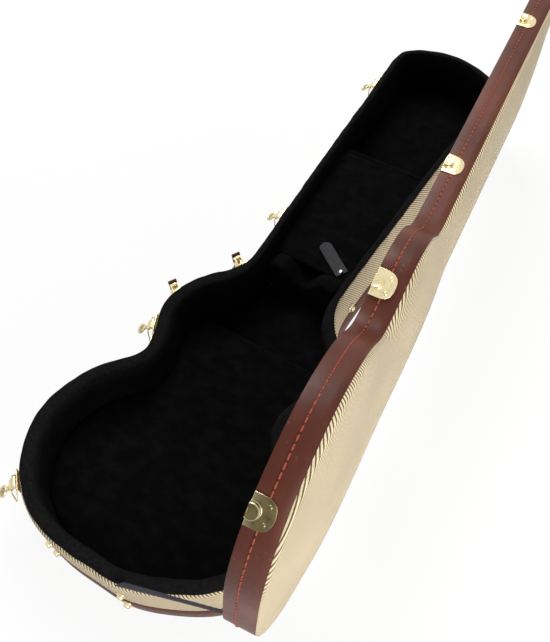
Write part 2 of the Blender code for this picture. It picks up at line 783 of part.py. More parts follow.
def lever_mesh():
    # Shown latched: the boss at the pivot, the arm hanging down to a round thumb disc
    half = 0.0072
    boss = rod_mesh(0.0029, (0, -half, 0), (0, half, 0), 12)
    lower = rod_mesh(0.0029, (BAIL_PIVOT.x, -half, BAIL_PIVOT.z), (BAIL_PIVOT.x, half, BAIL_PIVOT.z), 12)
    web = box_mesh((-0.0029, -half, BAIL_PIVOT.z), (0.0012, half, 0))
    arm = box_mesh((-0.0022, -0.0046, -THUMB_OUT), (-0.0004, 0.0046, BAIL_PIVOT.z))
    disc = rod_mesh(0.0085, (-0.0024, 0, -THUMB_OUT), (-0.0002, 0, -THUMB_OUT), 18)
    pivot_hole = rod_mesh(0.0016, (0, -0.02, 0), (0, 0.02, 0), 12)
    bail_hole = rod_mesh(0.00135, (BAIL_PIVOT.x, -0.02, BAIL_PIVOT.z), (BAIL_PIVOT.x, 0.02, BAIL_PIVOT.z), 12)
    return merge(boss, [web, lower, arm, disc], [pivot_hole, bail_hole])


def bail_mesh():
    # A closed wire loop hanging from its bar
    corner = 0.0016
    points = []
    for y_sign, z_end in ((1, 0), (1, 1), (-1, 1), (-1, 0)):
        z = -BAIL_LENGTH * z_end
        y = y_sign * BAIL_HALF
        z_in = z + corner if z_end else z - corner
        y_in = y - y_sign * corner
        bend = [(0, y_in, z), (0, y - y_sign * corner * 0.3, z + (z_in - z) * 0.3), (0, y, z_in)]
        points += bend if y_sign * (0.5 - z_end) > 0 else bend[::-1]
    return wire_mesh(points, 0.0010, closed=True, sides=1)


def keeper_mesh():
    plate = moved(plate_mesh(shield(KEEPER_HALF, 0.0022, 0.0280), 0.00035, 0.00155), STANDING)
    neck = rod_mesh(0.0058, (0.0010, 0, 0.0040), (0.0054, 0, 0.0040), 14)
    cap = rod_mesh(0.0080, (0.0053, 0, 0.0044), (0.0070, 0, 0.0044), 18)
    trim = box_mesh((-0.01, -0.02, -0.02), (0.02, 0.02, 0.0006))
    heads = [rivet(sign * 0.0112, 0.0170, 0.00155, 0.0026) for sign in (-1, 1)]
    return merge(plate, [neck, cap] + heads, [trim])


def add_latches(axis, inverse):
    plate, lever, bail, keeper = latch_plate_mesh(), lever_mesh(), bail_mesh(), keeper_mesh()
    for number, distance in enumerate(LATCH_STATIONS, 1):
        frame = wall_frame(FRONT, wall_at(FRONT, distance), KEEPER_HALF)
        place(add_piece(f"latch_{number}_plate", plate, "brass"), frame)
        handle = add_piece(f"latch_{number}_lever", lever, "brass")
        place(handle, frame @ Matrix.Translation(LEVER_PIVOT) @ Matrix.Rotation(-LEVER_OPEN, 4, "Y"))
        loop = add_piece(f"latch_{number}_bail", bail, "brass")
        loop.parent = handle
        loop.location = BAIL_PIVOT
        loop.rotation_euler = (0, LEVER_OPEN - BAIL_REST, 0)
        catch = add_piece(f"latch_{number}_keeper", keeper, "brass")
        place(catch, frame)
        on_lid(catch, axis, inverse)


def handle_frame():
    # X outwards, Y from the head pivot to the tail pivot, at the height of the pivots
    low, high = [Vector((p.x, p.y - LENGTH / 2)) for p in HANDLE_ENDS]
    along = (high - low).normalized()
    outward = Vector((-along.y, along.x))
    middle = (low + high) / 2
    frame = Matrix.Translation((middle.x, middle.y, RIM_PLANE - HANDLE_DROP))
    return frame @ Matrix.Rotation(math.atan2(outward.y, outward.x), 4, "Z"), (high - low).length


def bends(line):
    # The corners of a line of points, without those on its straight stretches
    kept = [line[0]]
    for before, here, after in zip(line, line[1:], line[2:]):
        ahead, back = Vector(after) - Vector(here), Vector(here) - Vector(before)
        if abs(ahead.normalized().cross(back.normalized())) > 0.003:
            kept.append(here)
    return kept + [line[-1]]


def bracket_mesh(frame, centre):
    # A block whose back follows the wall, with two ears that carry a pin
    half = 0.011
    inverse = frame.inverted()
    start, end = wall_at(FRONT, 0.360), wall_at(FRONT, 0.560)
    back = []
    for k in range(BRACKET_STEPS + 1):
        where = start + (end - start) * k / BRACKET_STEPS
        spot = facet(FRONT, where, -2 * GAP)
        local = inverse @ Vector((spot.x, spot.y, RIM_PLANE - HANDLE_DROP))
        if abs(local.y - centre) < half:
            back.append((local.x, local.y))
    back = bends(back)
    face = max(x for x, y in back) + 0.0014
    corners = back + [(face, back[-1][1]), (face, back[0][1])]
    block = plate_mesh(corners, -0.0120, 0.0105)
    added = []
    for ear in (-1, 1):
        near, far = sorted((centre + ear * 0.0040, centre + ear * 0.0058))
        added.append(box_mesh((face - 0.0010, near, -0.0034), (0, far, 0.0034)))
        added.append(rod_mesh(0.0034, (0, near, 0), (0, far, 0), 16))
    hole = rod_mesh(0.0018, (0, centre - 0.02, 0), (0, centre + 0.02, 0), 14)
    return merge(block, added, [hole])


def ferrule_mesh(centre):
    eye = rod_mesh(0.0036, (0, centre - 0.0034, 0), (0, centre + 0.0034, 0), 18)
    neck = rod_mesh(0.0026, (0, centre, -0.0010), (0, centre, -0.0112), 14)
    cup = rod_mesh(0.0072, (0, centre, -0.0108), (0, centre, -0.0150), 18)
    hole = rod_mesh(0.0018, (0, centre - 0.02, 0), (0, centre + 0.02, 0), 14)
    return merge(eye, [neck, cup], [hole])


def grip_mesh(reach):
    # Down from each ferrule, round a bend and across
    top = -0.0153
    drop = top - 0.003
    bend = 0.020
    points = [(0, -reach, top)]
    steps = 6
    for k in range(steps + 1):
        angle = math.pi / 2 * k / steps
        y = -reach + bend * (1 - math.cos(angle))
        points.append((0, y, drop - bend * math.sin(angle)))
    points += [(0, -p[1], p[2]) for p in reversed(points)]
    return wire_mesh(points, GRIP_R, sides=2)


def add_handle():
    frame, length = handle_frame()
    reach = length / 2 - 0.006
    for name, sign in (("tail", 1), ("head", -1)):
        centre = sign * reach
        place(add_piece("handle_" + name + "_bracket", bracket_mesh(frame, centre), "brass"), frame)
        pin = rod_mesh(0.0014, (0, centre - 0.0064, 0), (0, centre + 0.0064, 0), 14)
        place(add_piece("handle_" + name + "_pin", pin, "brass"), frame)
        place(add_piece("handle_" + name + "_ferrule", ferrule_mesh(centre), "brass"), frame)
    place(add_piece("handle_grip", grip_mesh(reach), "leather"), frame)


def stud_mesh():
    profile = (
        (0, 0.0042), (0.0022, 0.0044), (0.0026, 0.0056), (0.0042, 0.0050), (0.0048, 0.0032),
        (0.0048, 0.0016), (STUD_R - 0.0003, 0.0012), (STUD_R, 0.0004), (STUD_R, 0), (0, 0),
    )
    return moved(turned_mesh(profile, 12), OUTWARDS)


def add_studs():
    mesh = stud_mesh()
    for number, (x, height) in enumerate(TAIL_STUDS, 1):
        side = FRONT if x < 0 else HINGED
        low, high = 0.0, 0.2
        for _ in range(30):
            middle = (low + high) / 2
            if abs(side.at(middle).x) < abs(x):
                low = middle
            else:
                high = middle
        clear = GAP - TRIM_OUT if height < SEAM else GAP
        add_stud(f"tail_stud_{number}", mesh, side, low, height, clear)
    for number, distance in enumerate(SIDE_STUDS, 1):
        where = wall_at(HINGED, distance)
        add_stud(f"side_stud_{number}", mesh, HINGED, where, SIDE_STUD_HEIGHT, GAP)


def add_stud(name, mesh, side, where, height, clear):
    frame = wall_frame(side, where, STUD_R)
    lift = Matrix.Translation((0, 0, height - RIM_PLANE))
    place(add_piece(name, mesh, "brass"), lift @ frame @ Matrix.Translation((clear, 0, 0)))


def build():
    add_base_shell()
    add_inside()
    add_compartment_lid()
    axis, inverse = add_lid_axis()
    for piece in add_lid_shell():
        on_lid(piece, axis, inverse)
    low, high, along, outward = hinge_line()
    add_hinge("body", low, along, outward, axis, inverse)
    add_hinge("head", high, along, outward, axis, inverse)
    add_latches(axis, inverse)
    add_handle()
    add_studs()
    add_stay()


clear_scene()
parts = make_collection("GuitarCase")
cutters = make_collection("Cutters")
FRONT = Side(1, -1)
HINGED = Side(2, 1)
STATIONS = spread_rows()
build()
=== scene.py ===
import json
import math

import bmesh
import bpy
import numpy as np
from mathutils import Matrix, Vector, noise


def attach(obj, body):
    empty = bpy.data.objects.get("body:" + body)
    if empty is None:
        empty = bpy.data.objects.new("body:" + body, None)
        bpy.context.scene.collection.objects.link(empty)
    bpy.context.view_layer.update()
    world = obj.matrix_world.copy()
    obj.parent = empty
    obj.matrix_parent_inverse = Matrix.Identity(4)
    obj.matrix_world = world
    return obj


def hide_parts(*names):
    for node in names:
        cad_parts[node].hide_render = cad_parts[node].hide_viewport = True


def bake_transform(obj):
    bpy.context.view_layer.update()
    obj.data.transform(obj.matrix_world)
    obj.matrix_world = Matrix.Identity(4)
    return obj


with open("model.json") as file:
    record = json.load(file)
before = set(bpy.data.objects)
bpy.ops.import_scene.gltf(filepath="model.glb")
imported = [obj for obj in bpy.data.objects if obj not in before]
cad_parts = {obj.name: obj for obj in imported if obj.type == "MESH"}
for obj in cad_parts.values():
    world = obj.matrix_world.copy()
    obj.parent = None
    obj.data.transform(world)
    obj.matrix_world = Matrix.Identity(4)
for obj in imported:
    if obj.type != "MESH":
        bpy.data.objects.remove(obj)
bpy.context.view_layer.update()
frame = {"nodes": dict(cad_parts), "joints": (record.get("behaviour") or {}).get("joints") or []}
joints = {joint["name"]: joint for joint in frame["joints"]}
print("frame loaded:", len(frame["nodes"]), "nodes")

# Sizes shared with the part's source, in metres. Rows of the outline: from the tail, front half, hinge half
case = {
    "length": 1.080,
    "outline": (
        (0.000, 0.000, 0.000), (0.002, 0.062, 0.050), (0.020, 0.120, 0.104), (0.069, 0.174, 0.177),
        (0.133, 0.197, 0.197), (0.191, 0.188, 0.188), (0.241, 0.159, 0.159), (0.284, 0.127, 0.127),
        (0.323, 0.137, 0.137), (0.360, 0.150, 0.149), (0.398, 0.145, 0.146), (0.441, 0.119, 0.114),
        (0.480, 0.085, 0.089), (0.529, 0.080, 0.085), (0.592, 0.084, 0.088), (0.704, 0.090, 0.093),
        (0.864, 0.096, 0.102), (0.986, 0.101, 0.112), (1.046, 0.094, 0.096), (1.068, 0.062, 0.058),
        (1.080, 0.000, 0.000),
    ),
    "rows": 230,
    "gap": 0.0003,
    "skin": 0.0010,
    "plyIn": 0.0013,
    "plyBack": 0.0053,
    "rim": 0.1022,
    "floor": 0.0057,
    "seam": 0.0300,
    "rollTop": 0.1027,
    "rollRadius": ((0.00, 0.0075), (0.025, 0.0066), (0.07, 0.0040), (0.13, 0.0030), (1.08, 0.0030)),
    "coverDrop": (
        (0.00, 0.0088), (0.06, 0.0072), (0.20, 0.0050), (0.33, 0.0034), (0.45, 0.0036), (0.56, 0.0050),
        (1.08, 0.0050),
    ),
    "bodyPad": 0.022,
    "neckPad": 0.013,
    "padChange": (0.445, 0.512),
}
lidShape = {
    "bottom": 0.1036,
    "wall": 0.0375,
    "bodyCrown": 0.022,
    "neckCrown": 0.016,
    "crownChange": (0.42, 0.54),
    "run": (0.180, 0.230),
    "power": 3,
    "edgeRound": 0.0024,
    "skirt": ((0.0, 0.0), (0.06, 0.0022), (0.25, 0.0026), (0.33, 0.0010), (1.08, 0.0010)),
    "pad": 0.012,
}


def smoothstep(value, low, high):
    t = np.clip((np.asarray(value, float) - low) / (high - low), 0, 1)
    return t * t * (3 - 2 * t)


# The same curve through the outline's rows as in the part's source
def outlineSide(column, sign):
    rows = np.array(case["outline"])
    points = np.column_stack((sign * rows[:, column], rows[:, 0]))
    middle = np.column_stack(((rows[:, 1] + rows[:, 2]) / 2, rows[:, 0]))
    steps = np.hypot(*np.diff(middle, axis=0).T)
    knots = np.concatenate(([0], np.cumsum(steps)))
    count = len(knots)
    rules = np.zeros((count, count))
    rules[0, 0] = rules[-1, -1] = 1
    wanted = np.zeros((count, 2))
    wanted[0], wanted[-1] = (sign, 0), (-sign, 0)
    for k in range(1, count - 1):
        before, after = steps[k - 1], steps[k]
        rules[k, k - 1 : k + 2] = (1 / before, 2 / before + 2 / after, 1 / after)
        wanted[k] = 3 * ((points[k] - points[k - 1]) / before**2 + (points[k + 1] - points[k]) / after**2)
    slopes = np.linalg.solve(rules, wanted)

    def at(where):
        place = np.clip(np.atleast_1d(np.asarray(where, float)), 0, 1) * knots[-1]
        k = np.clip(np.searchsorted(knots, place) - 1, 0, count - 2)
        step = steps[k][:, None]
        t = (place - knots[k])[:, None] / step
        a, b, p, q = points[k], points[k + 1], slopes[k] * step, slopes[k + 1] * step
        here = a + t * p + t * t * (3 * (b - a) - 2 * p - q) + t**3 * (2 * (a - b) + p + q)
        here[:, 1] -= case["length"] / 2
        return here

    return at


frontAt = outlineSide(1, -1)
hingeAt = outlineSide(2, 1)


def inwardOf(at, where):
    ahead = at(np.clip(where + 1e-4, 0, 1)) - at(np.clip(where - 1e-4, 0, 1))
    turned = np.column_stack((-ahead[:, 1], ahead[:, 0]))
    turned /= np.linalg.norm(turned, axis=1)[:, None]
    return turned if at is hingeAt else -turned


def insetPoints(at, where, inset):
    where = np.atleast_1d(np.asarray(where, float))
    return at(where) + inwardOf(at, where) * np.reshape(np.broadcast_to(inset, where.shape), (-1, 1))


def padDepth(y):
    change = smoothstep(np.asarray(y) + case["length"] / 2, *case["padChange"])
    return case["bodyPad"] + (case["neckPad"] - case["bodyPad"]) * change


def whereAt(at, distance):
    fine = np.linspace(0, 1, 4001)
    return float(np.interp(distance, at(fine)[:, 1] + case["length"] / 2, fine))


# Every place around the outline: up the hinge side, then down the front side
places = np.linspace(0, 1, case["rows"] + 1)
loopWhere = np.concatenate((places[:-1], places[:0:-1]))
onHinge = np.arange(len(loopWhere)) < case["rows"]
loopOuter = np.where(onHinge[:, None], hingeAt(loopWhere), frontAt(loopWhere))
loopInward = np.where(onHinge[:, None], inwardOf(hingeAt, loopWhere), inwardOf(frontAt, loopWhere))


def arcLengths():
    lengths = []
    for at in (hingeAt, frontAt):
        steps = np.hypot(*np.diff(at(places), axis=0).T)
        lengths.append(np.concatenate(([0], np.cumsum(steps))))
    hinge, front = lengths
    start = np.concatenate((hinge[:-1], -front[:0:-1]))
    end = np.concatenate((hinge[1:], -front[-2::-1]))
    return start, end


arcStart, arcEnd = arcLengths()
fineWhere = np.linspace(0, 1, 3001)
fineFront, fineHinge = frontAt(fineWhere), hingeAt(fineWhere)


def lidHeight(flat):
    # Height of the lid's outer face above its bottom edge, at places (x, y)
    x, y = flat[..., 0], flat[..., 1]
    low = np.interp(y, fineFront[:, 1], fineFront[:, 0])
    high = np.interp(y, fineHinge[:, 1], fineHinge[:, 0])
    across = np.clip((2 * x - low - high) / np.maximum(high - low, 1e-6), -1, 1)
    fromTail = y + case["length"] / 2
    run = lidShape["run"]
    ends = np.clip(np.minimum(fromTail / run[0], (case["length"] - fromTail) / run[1]), 0, 1)
    rise = 1 - (1 - ends) ** 2
    top = lidShape["bodyCrown"]
    top = top + (lidShape["neckCrown"] - top) * smoothstep(fromTail, *lidShape["crownChange"])
    return lidShape["wall"] + top * rise * (1 - np.abs(across) ** lidShape["power"])


def newMesh(name, corners, faces, uvs=None):
    mesh = bpy.data.meshes.new(name)
    mesh.from_pydata([tuple(c) for c in corners], [], faces)
    if uvs is not None:
        layer = mesh.uv_layers.new(name="UVMap")
        layer.data.foreach_set("uv", np.asarray(uvs, np.float32).ravel())
    return mesh


def cleaned(mesh, doubles=0.0):
    work = bmesh.new()
    work.from_mesh(mesh)
    if doubles:
        bmesh.ops.remove_doubles(work, verts=work.verts, dist=doubles)
        bmesh.ops.dissolve_degenerate(work, edges=work.edges, dist=doubles)
    bmesh.ops.recalc_face_normals(work, faces=work.faces)
    work.to_mesh(mesh)
    work.free()
    return mesh


def inScene(name, data):
    thing = bpy.data.objects.new(name, data)
    bpy.context.scene.collection.objects.link(thing)
    return thing


def evaluated(holder):
    # The plain mesh that an object with modifiers, or a curve, turns into
    bpy.context.view_layer.update()
    graph = bpy.context.evaluated_depsgraph_get()
    made = bpy.data.meshes.new_from_object(holder.evaluated_get(graph))
    bpy.data.objects.remove(holder, do_unlink=True)
    return made


def sheetFaces(wide, tall):
    # A grid of corners and the same grid under it, closed around the edge
    total = wide * tall
    faces = []
    for r in range(tall - 1):
        for c in range(wide - 1):
            k = r * wide + c
            faces.append((k, k + 1, k + wide + 1, k + wide))
            faces.append(tuple(v + total for v in (k, k + wide, k + wide + 1, k + 1)))
    ring = list(range(wide)) + [r * wide + wide - 1 for r in range(1, tall)]
    ring += [(tall - 1) * wide + c for c in range(wide - 2, -1, -1)]
    ring += [r * wide for r in range(tall - 2, 0, -1)]
    return faces + [(a, b, b + total, a + total) for a, b in zip(ring, ring[1:] + ring[:1])]


def addPiece(name, mesh, look, body, nodes=(), smoothAngle=40, placing=None):
    piece = inScene(name, mesh)
    if placing is not None:
        mesh.transform(placing)
    mesh.materials.clear()
    mesh.materials.append(looks[look])
    mesh.shade_smooth()
    if smoothAngle < 180:
        mesh.set_sharp_from_angle(angle=math.radians(smoothAngle))
    if body:
        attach(piece, body)
    if nodes:
        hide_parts(*nodes)
    return piece


def loopMesh(name, section, closed=True):
    # Rings around the outline; each section corner is (inset, height), numbers or one value for each place
    count = len(loopWhere)
    levels = []
    for inset, height in section:
        flat = loopOuter + loopInward * np.reshape(np.broadcast_to(inset, (count,)), (-1, 1))
        levels.append(np.column_stack((flat, np.broadcast_to(height, (count,)))))
    levels = np.array(levels)
    across = [0.0]
    total = len(levels)
    for k in range(total):
        across.append(
            across[-1] + float(np.mean(np.linalg.norm(levels[(k + 1) % total] - levels[k], axis=1)))
        )
    faces = []
    uvs = []
    for level in range(total if closed else total - 1):
        low, high = level * count, ((level + 1) % total) * count
        for k in range(count):
            after = (k + 1) % count
            faces.append((low + k, low + after, high + after, high + k))
            a, b = arcStart[k], arcEnd[k]
            uvs += [(a, across[level]), (b, across[level]), (b, across[level + 1]), (a, across[level + 1])]
    return cleaned(newMesh(name, levels.reshape(-1, 3), faces, uvs))


def lidTurn():
    hinge = joints["lid_hinge"]
    pivot = Vector(hinge["pos_m"])
    angle = -math.radians(hinge["range_deg"][0])
    to = Matrix.Translation(pivot)
    return to @ Matrix.Rotation(angle, 4, Vector(hinge["axis"])) @ to.inverted()


opened = lidTurn()


# A material built step by step: each call adds a node, and an input may be a value or another node's output
class Finish:
    def __init__(self, name, **settings):
        self.material = bpy.data.materials.new(name)
        self.material.use_nodes = True
        self.tree = self.material.node_tree
        self.shader = self.tree.nodes["Principled BSDF"]
        self.set(self.shader, settings)

    def set(self, node, inputs):
        for key, value in inputs.items():
            socket = node.inputs[key if isinstance(key, int) else key.replace("_", " ")]
            if isinstance(value, bpy.types.NodeSocket):
                self.tree.links.new(value, socket)
            elif socket.type == "RGBA" and len(value) == 3:
                socket.default_value = (*value, 1)
            else:
                socket.default_value = value

    def add(self, kind, inputs=None, output=0, **props):
        node = self.tree.nodes.new("ShaderNode" + kind)
        for key, value in props.items():
            setattr(node, key, value)
        self.set(node, inputs or {})
        return node.outputs[output]

    def math(self, operation, *values, clamp=False):
        return self.add("Math", dict(enumerate(values)), operation=operation, use_clamp=clamp)

    def spot(self):
        return self.add("TexCoord", output="Object")

    def uv(self):
        return self.add("UVMap", uv_map="UVMap")

    def noise(self, vector, scale, detail=3.0, roughness=0.5):
        return self.add(
            "TexNoise", {"Vector": vector, "Scale": scale, "Detail": detail, "Roughness": roughness},
        )

    def stretch(self, vector, scale):
        return self.add("Mapping", {"Vector": vector, "Scale": scale})

    def mix(self, amount, first, second):
        node = self.tree.nodes.new("ShaderNodeMix")
        node.data_type = "RGBA"
        self.set(node, {0: amount, 6: first, 7: second})
        return node.outputs[2]

    def range(self, value, low, high, toLow=0.0, toHigh=1.0, smooth=False):
        kind = "SMOOTHSTEP" if smooth else "LINEAR"
        inputs = {"Value": value, "From Min": low, "From Max": high, "To Min": toLow, "To Max": toHigh}
        return self.add("MapRange", inputs, interpolation_type=kind)

    def bump(self, height, distance, strength=1.0):
        inputs = {"Height": height, "Distance": distance, "Strength": strength}
        self.set(self.shader, {"Normal": self.add("Bump", inputs)})

    def done(self, **inputs):
        self.set(self.shader, inputs)
        return self.material


tweedLook = {
    "stripesPerMetre": 200.0,
    "stripeShare": 0.42,
    "threadsPerMetre": 1500.0,
    "cream": (0.88, 0.73, 0.46),
    "brown": (0.105, 0.054, 0.021),
}


def tweed():
    # Diagonal brown stripes on cream, woven from threads that show in colour and relief
    f = Finish("creamTweed", Roughness=0.85, Sheen_Weight=0.15, Sheen_Roughness=0.5)
    uv = f.uv()
    u, v = (f.add("SeparateXYZ", {"Vector": uv}, output=k) for k in (0, 1))
    fuzz = f.noise(uv, 900.0, 2.0)
    wander = f.noise(uv, 14.0, 2.0)
    along = f.math("MULTIPLY", f.math("ADD", u, v), tweedLook["stripesPerMetre"])
    along = f.math("ADD", along, f.math("MULTIPLY", f.math("SUBTRACT", fuzz, 0.5), 0.28))
    along = f.math("ADD", along, f.math("MULTIPLY", f.math("SUBTRACT", wander, 0.5), 0.5))
    wave = f.math("PINGPONG", along, 0.5)
    edge = tweedLook["stripeShare"] / 2
    stripe = f.range(wave, edge - 0.04, edge + 0.04, 1.0, 0.0, smooth=True)
    turns = tweedLook["threadsPerMetre"] * math.pi
    warp = f.math("ABSOLUTE", f.math("SINE", f.math("MULTIPLY", u, turns)))
    weft = f.math("ABSOLUTE", f.math("SINE", f.math("MULTIPLY", v, turns)))
    threads = f.math("MULTIPLY", warp, weft)
    tone = f.range(f.noise(f.spot(), 9.0, 4.0), 0.3, 0.7, 0.88, 1.06)
    shade = f.math("MULTIPLY", tone, f.range(threads, 0.0, 1.0, 0.80, 1.08))
    colour = f.mix(stripe, tweedLook["cream"], tweedLook["brown"])
    colour = f.add("VectorMath", {0: colour, "Scale": shade}, operation="SCALE")
    height = f.math("ADD", threads, f.math("MULTIPLY", stripe, 0.5))
    f.bump(height, 0.00022, 0.6)
    return f.done(Base_Color=colour)


bandLook = {"brown": (0.124, 0.036, 0.020), "dark": (0.073, 0.0190, 0.011), "paleTone": (0.42, 0.26, 0.20)}


def leatherette(name="brownLeatherette", edgeHighlightHeight=None):
    # Pebbled brown leatherette; a band also gets a paler line along the edge at the rim, a painted highlight
    # on the leather's fold
    f = Finish(name, Specular_IOR_Level=0.16)
    spot = f.spot()
    grain = f.add("TexVoronoi", {"Vector": spot, "Scale": 950.0, "Randomness": 0.9}, feature="SMOOTH_F1")
    creases = f.noise(f.stretch(spot, (1.0, 1.0, 1.6)), 160.0, 5.0, 0.65)
    patches = f.noise(spot, 11.0, 3.0)
    colour = f.mix(f.range(patches, 0.35, 0.7), bandLook["dark"], bandLook["brown"])
    colour = f.mix(f.range(creases, 0.62, 0.80, 0.0, 0.35), colour, bandLook["paleTone"])
    if edgeHighlightHeight:
        # Painted highlight: the paler tone near the band's edge at the rim, broken up by noise
        v = f.add("SeparateXYZ", {"Vector": f.uv()}, output=1)
        near = f.range(v, 0.0, edgeHighlightHeight, 1.0, 0.0, smooth=True)
        near = f.math("MULTIPLY", near, f.range(f.noise(spot, 60.0), 0.35, 0.6, 0.5, 1.0))
        colour = f.mix(near, colour, bandLook["paleTone"])
    f.bump(f.math("ADD", grain, f.math("MULTIPLY", creases, 1.4)), 0.00016, 0.55)
    f.set(f.shader, {"Roughness": f.range(creases, 0.3, 0.8, 0.36, 0.52)})
    return f.done(Base_Color=colour)


plushLook = {
    "black": (0.0020, 0.0020, 0.0021),
    "nap": (0.0056, 0.0056, 0.0060),
    # The rim colour is painted light: the base's plush is laid greyer towards the top of its roll
    "rim": (0.0125, 0.0119, 0.0125),
    "paintedLightFrom": 0.070,
}


def plush():
    # Short black pile: dark in its depth, a little greyer at random where the nap turns; painted light makes
    # it greyer still towards the top of the base's rim roll
    f = Finish("blackPlush", Roughness=1.0, Specular_IOR_Level=0.04)
    spot = f.spot()
    pile = f.noise(spot, 1100.0, 3.0, 0.7)
    brushed = f.noise(f.stretch(spot, (1.0, 1.4, 1.0)), 38.0, 4.0, 0.6)
    amount = f.math("MULTIPLY", f.range(brushed, 0.42, 0.72), f.range(pile, 0.3, 0.8, 0.55, 1.0))
    colour = f.mix(amount, plushLook["black"], plushLook["nap"])
    height = f.add("SeparateXYZ", {"Vector": spot}, output=2)
    # Painted light: greyer upwards from 70 mm to the rim, in patches; the open lid's plush above the rim is
    # left out
    rim = f.range(height, plushLook["paintedLightFrom"], case["rim"], 0.0, 1.0, smooth=True)
    rim = f.math("MULTIPLY", rim, f.range(f.noise(spot, 260.0, 4.0, 0.7), 0.34, 0.66, 0.25, 1.0))
    below = f.range(height, case["rim"] + 0.001, case["rim"] + 0.003, 1.0, 0.0)
    colour = f.mix(f.math("MULTIPLY", rim, below), colour, plushLook["rim"])
    f.bump(f.math("ADD", pile, f.math("MULTIPLY", brushed, 2.2)), 0.0011, 0.7)
    return f.done(Base_Color=colour)


def brass(name, colour, tarnish, rough, paleTone=None):
    # Plated metal with fine scratches and tarnish in broad patches
    f = Finish(name, Metallic=1.0)
    spot = f.spot()
    patches = f.noise(spot, 130.0, 4.0, 0.6)
    scratches = f.noise(f.stretch(spot, (1.0, 1.0, 9.0)), 900.0, 2.0)
    shade = f.mix(f.range(patches, 0.45, 0.75), colour, tarnish)
    if paleTone:
        edges = f.add("NewGeometry", output=7)
        shade = f.mix(f.range(edges, 0.53, 0.60), shade, paleTone)
    f.set(f.shader, {"Roughness": f.range(scratches, 0.3, 0.7, rough, rough + 0.14)})
    f.bump(scratches, 0.00003, 0.35)
    return f.done(Base_Color=shade)


def thread():
    f = Finish("orangeThread", Roughness=0.6, Specular_IOR_Level=0.3)
    twist = f.add(
        "TexWave", {"Vector": f.spot(), "Scale": 700.0, "Distortion": 1.0}, bands_direction="DIAGONAL",
    )
    f.bump(twist, 0.0001, 0.6)
    return f.done(Base_Color=f.mix(twist, (0.44, 0.092, 0.038), (0.24, 0.040, 0.018)))


def paintedHoleShade():
    # Painted shade: a near-black colour on a dome above the band, standing in for the shade inside a needle
    # hole
    f = Finish("needleHoleShade", Roughness=0.9)
    return f.done(Base_Color=f.mix(f.noise(f.spot(), 900.0), (0.012, 0.004, 0.003), (0.035, 0.012, 0.008)))


def plywood():
    f = Finish("birchPlywood", Roughness=0.65)
    spot = f.spot()
    grain = f.noise(f.stretch(spot, (30.0, 2.5, 30.0)), 6.0, 5.0, 0.6)
    plies = f.add("TexWave", {"Vector": spot, "Scale": 160.0, "Distortion": 0.6}, bands_direction="Z")
    colour = f.mix(f.range(grain, 0.3, 0.7), (0.56, 0.38, 0.20), (0.70, 0.52, 0.31))
    f.bump(f.math("ADD", grain, plies), 0.0001, 0.4)
    return f.done(Base_Color=colour)


def ribbon():
    # Grey webbing with fine ribs across it
    f = Finish("greyRibbon", Roughness=0.55, Specular_IOR_Level=0.3)
    uv = f.uv()
    v = f.add("SeparateXYZ", {"Vector": uv}, output=1)
    ribs = f.math("SINE", f.math("MULTIPLY", v, 4200.0))
    fuzz = f.noise(uv, 700.0)
    colour = f.mix(f.range(fuzz, 0.3, 0.7), (0.040, 0.038, 0.048), (0.062, 0.060, 0.074))
    f.bump(f.math("ADD", ribs, fuzz), 0.00012, 0.6)
    return f.done(Base_Color=colour)


def smoothLeather(name, light, dark, rough):
    f = Finish(name, Specular_IOR_Level=0.22)
    spot = f.spot()
    grain = f.add("TexVoronoi", {"Vector": spot, "Scale": 1100.0}, feature="SMOOTH_F1")
    creases = f.noise(spot, 220.0, 4.0, 0.6)
    f.set(f.shader, {"Roughness": f.range(creases, 0.3, 0.7, rough, rough + 0.15)})
    f.bump(f.math("ADD", grain, creases), 0.00015, 0.5)
    return f.done(Base_Color=f.mix(f.range(creases, 0.35, 0.7), dark, light))


looks = {
    "tweed": tweed(),
    "leatherette": leatherette(),
    "band": leatherette("brownBand", 0.0022),
    "plush": plush(),
    "brass": brass("polishedBrass", (0.80, 0.68, 0.41), (0.62, 0.50, 0.28), 0.15),
    "agedBrass": brass("agedBrass", (0.15, 0.118, 0.055), (0.075, 0.060, 0.030), 0.22, (0.95, 0.86, 0.58)),
    "nickel": brass("brightNickel", (0.78, 0.78, 0.77), (0.60, 0.60, 0.58), 0.16),
    "thread": thread(),
    "hole": paintedHoleShade(),
    "plywood": plywood(),
    "ribbon": ribbon(),
    "grip": smoothLeather("gripLeather", (0.13, 0.040, 0.024), (0.070, 0.020, 0.012), 0.34),
    "tab": smoothLeather("tabLeather", (0.018, 0.018, 0.021), (0.008, 0.008, 0.010), 0.55),
}
for node in frame["nodes"].values():
    node.data.materials.clear()
    node.data.materials.append(looks["brass"])
print("materials made:", len(looks))


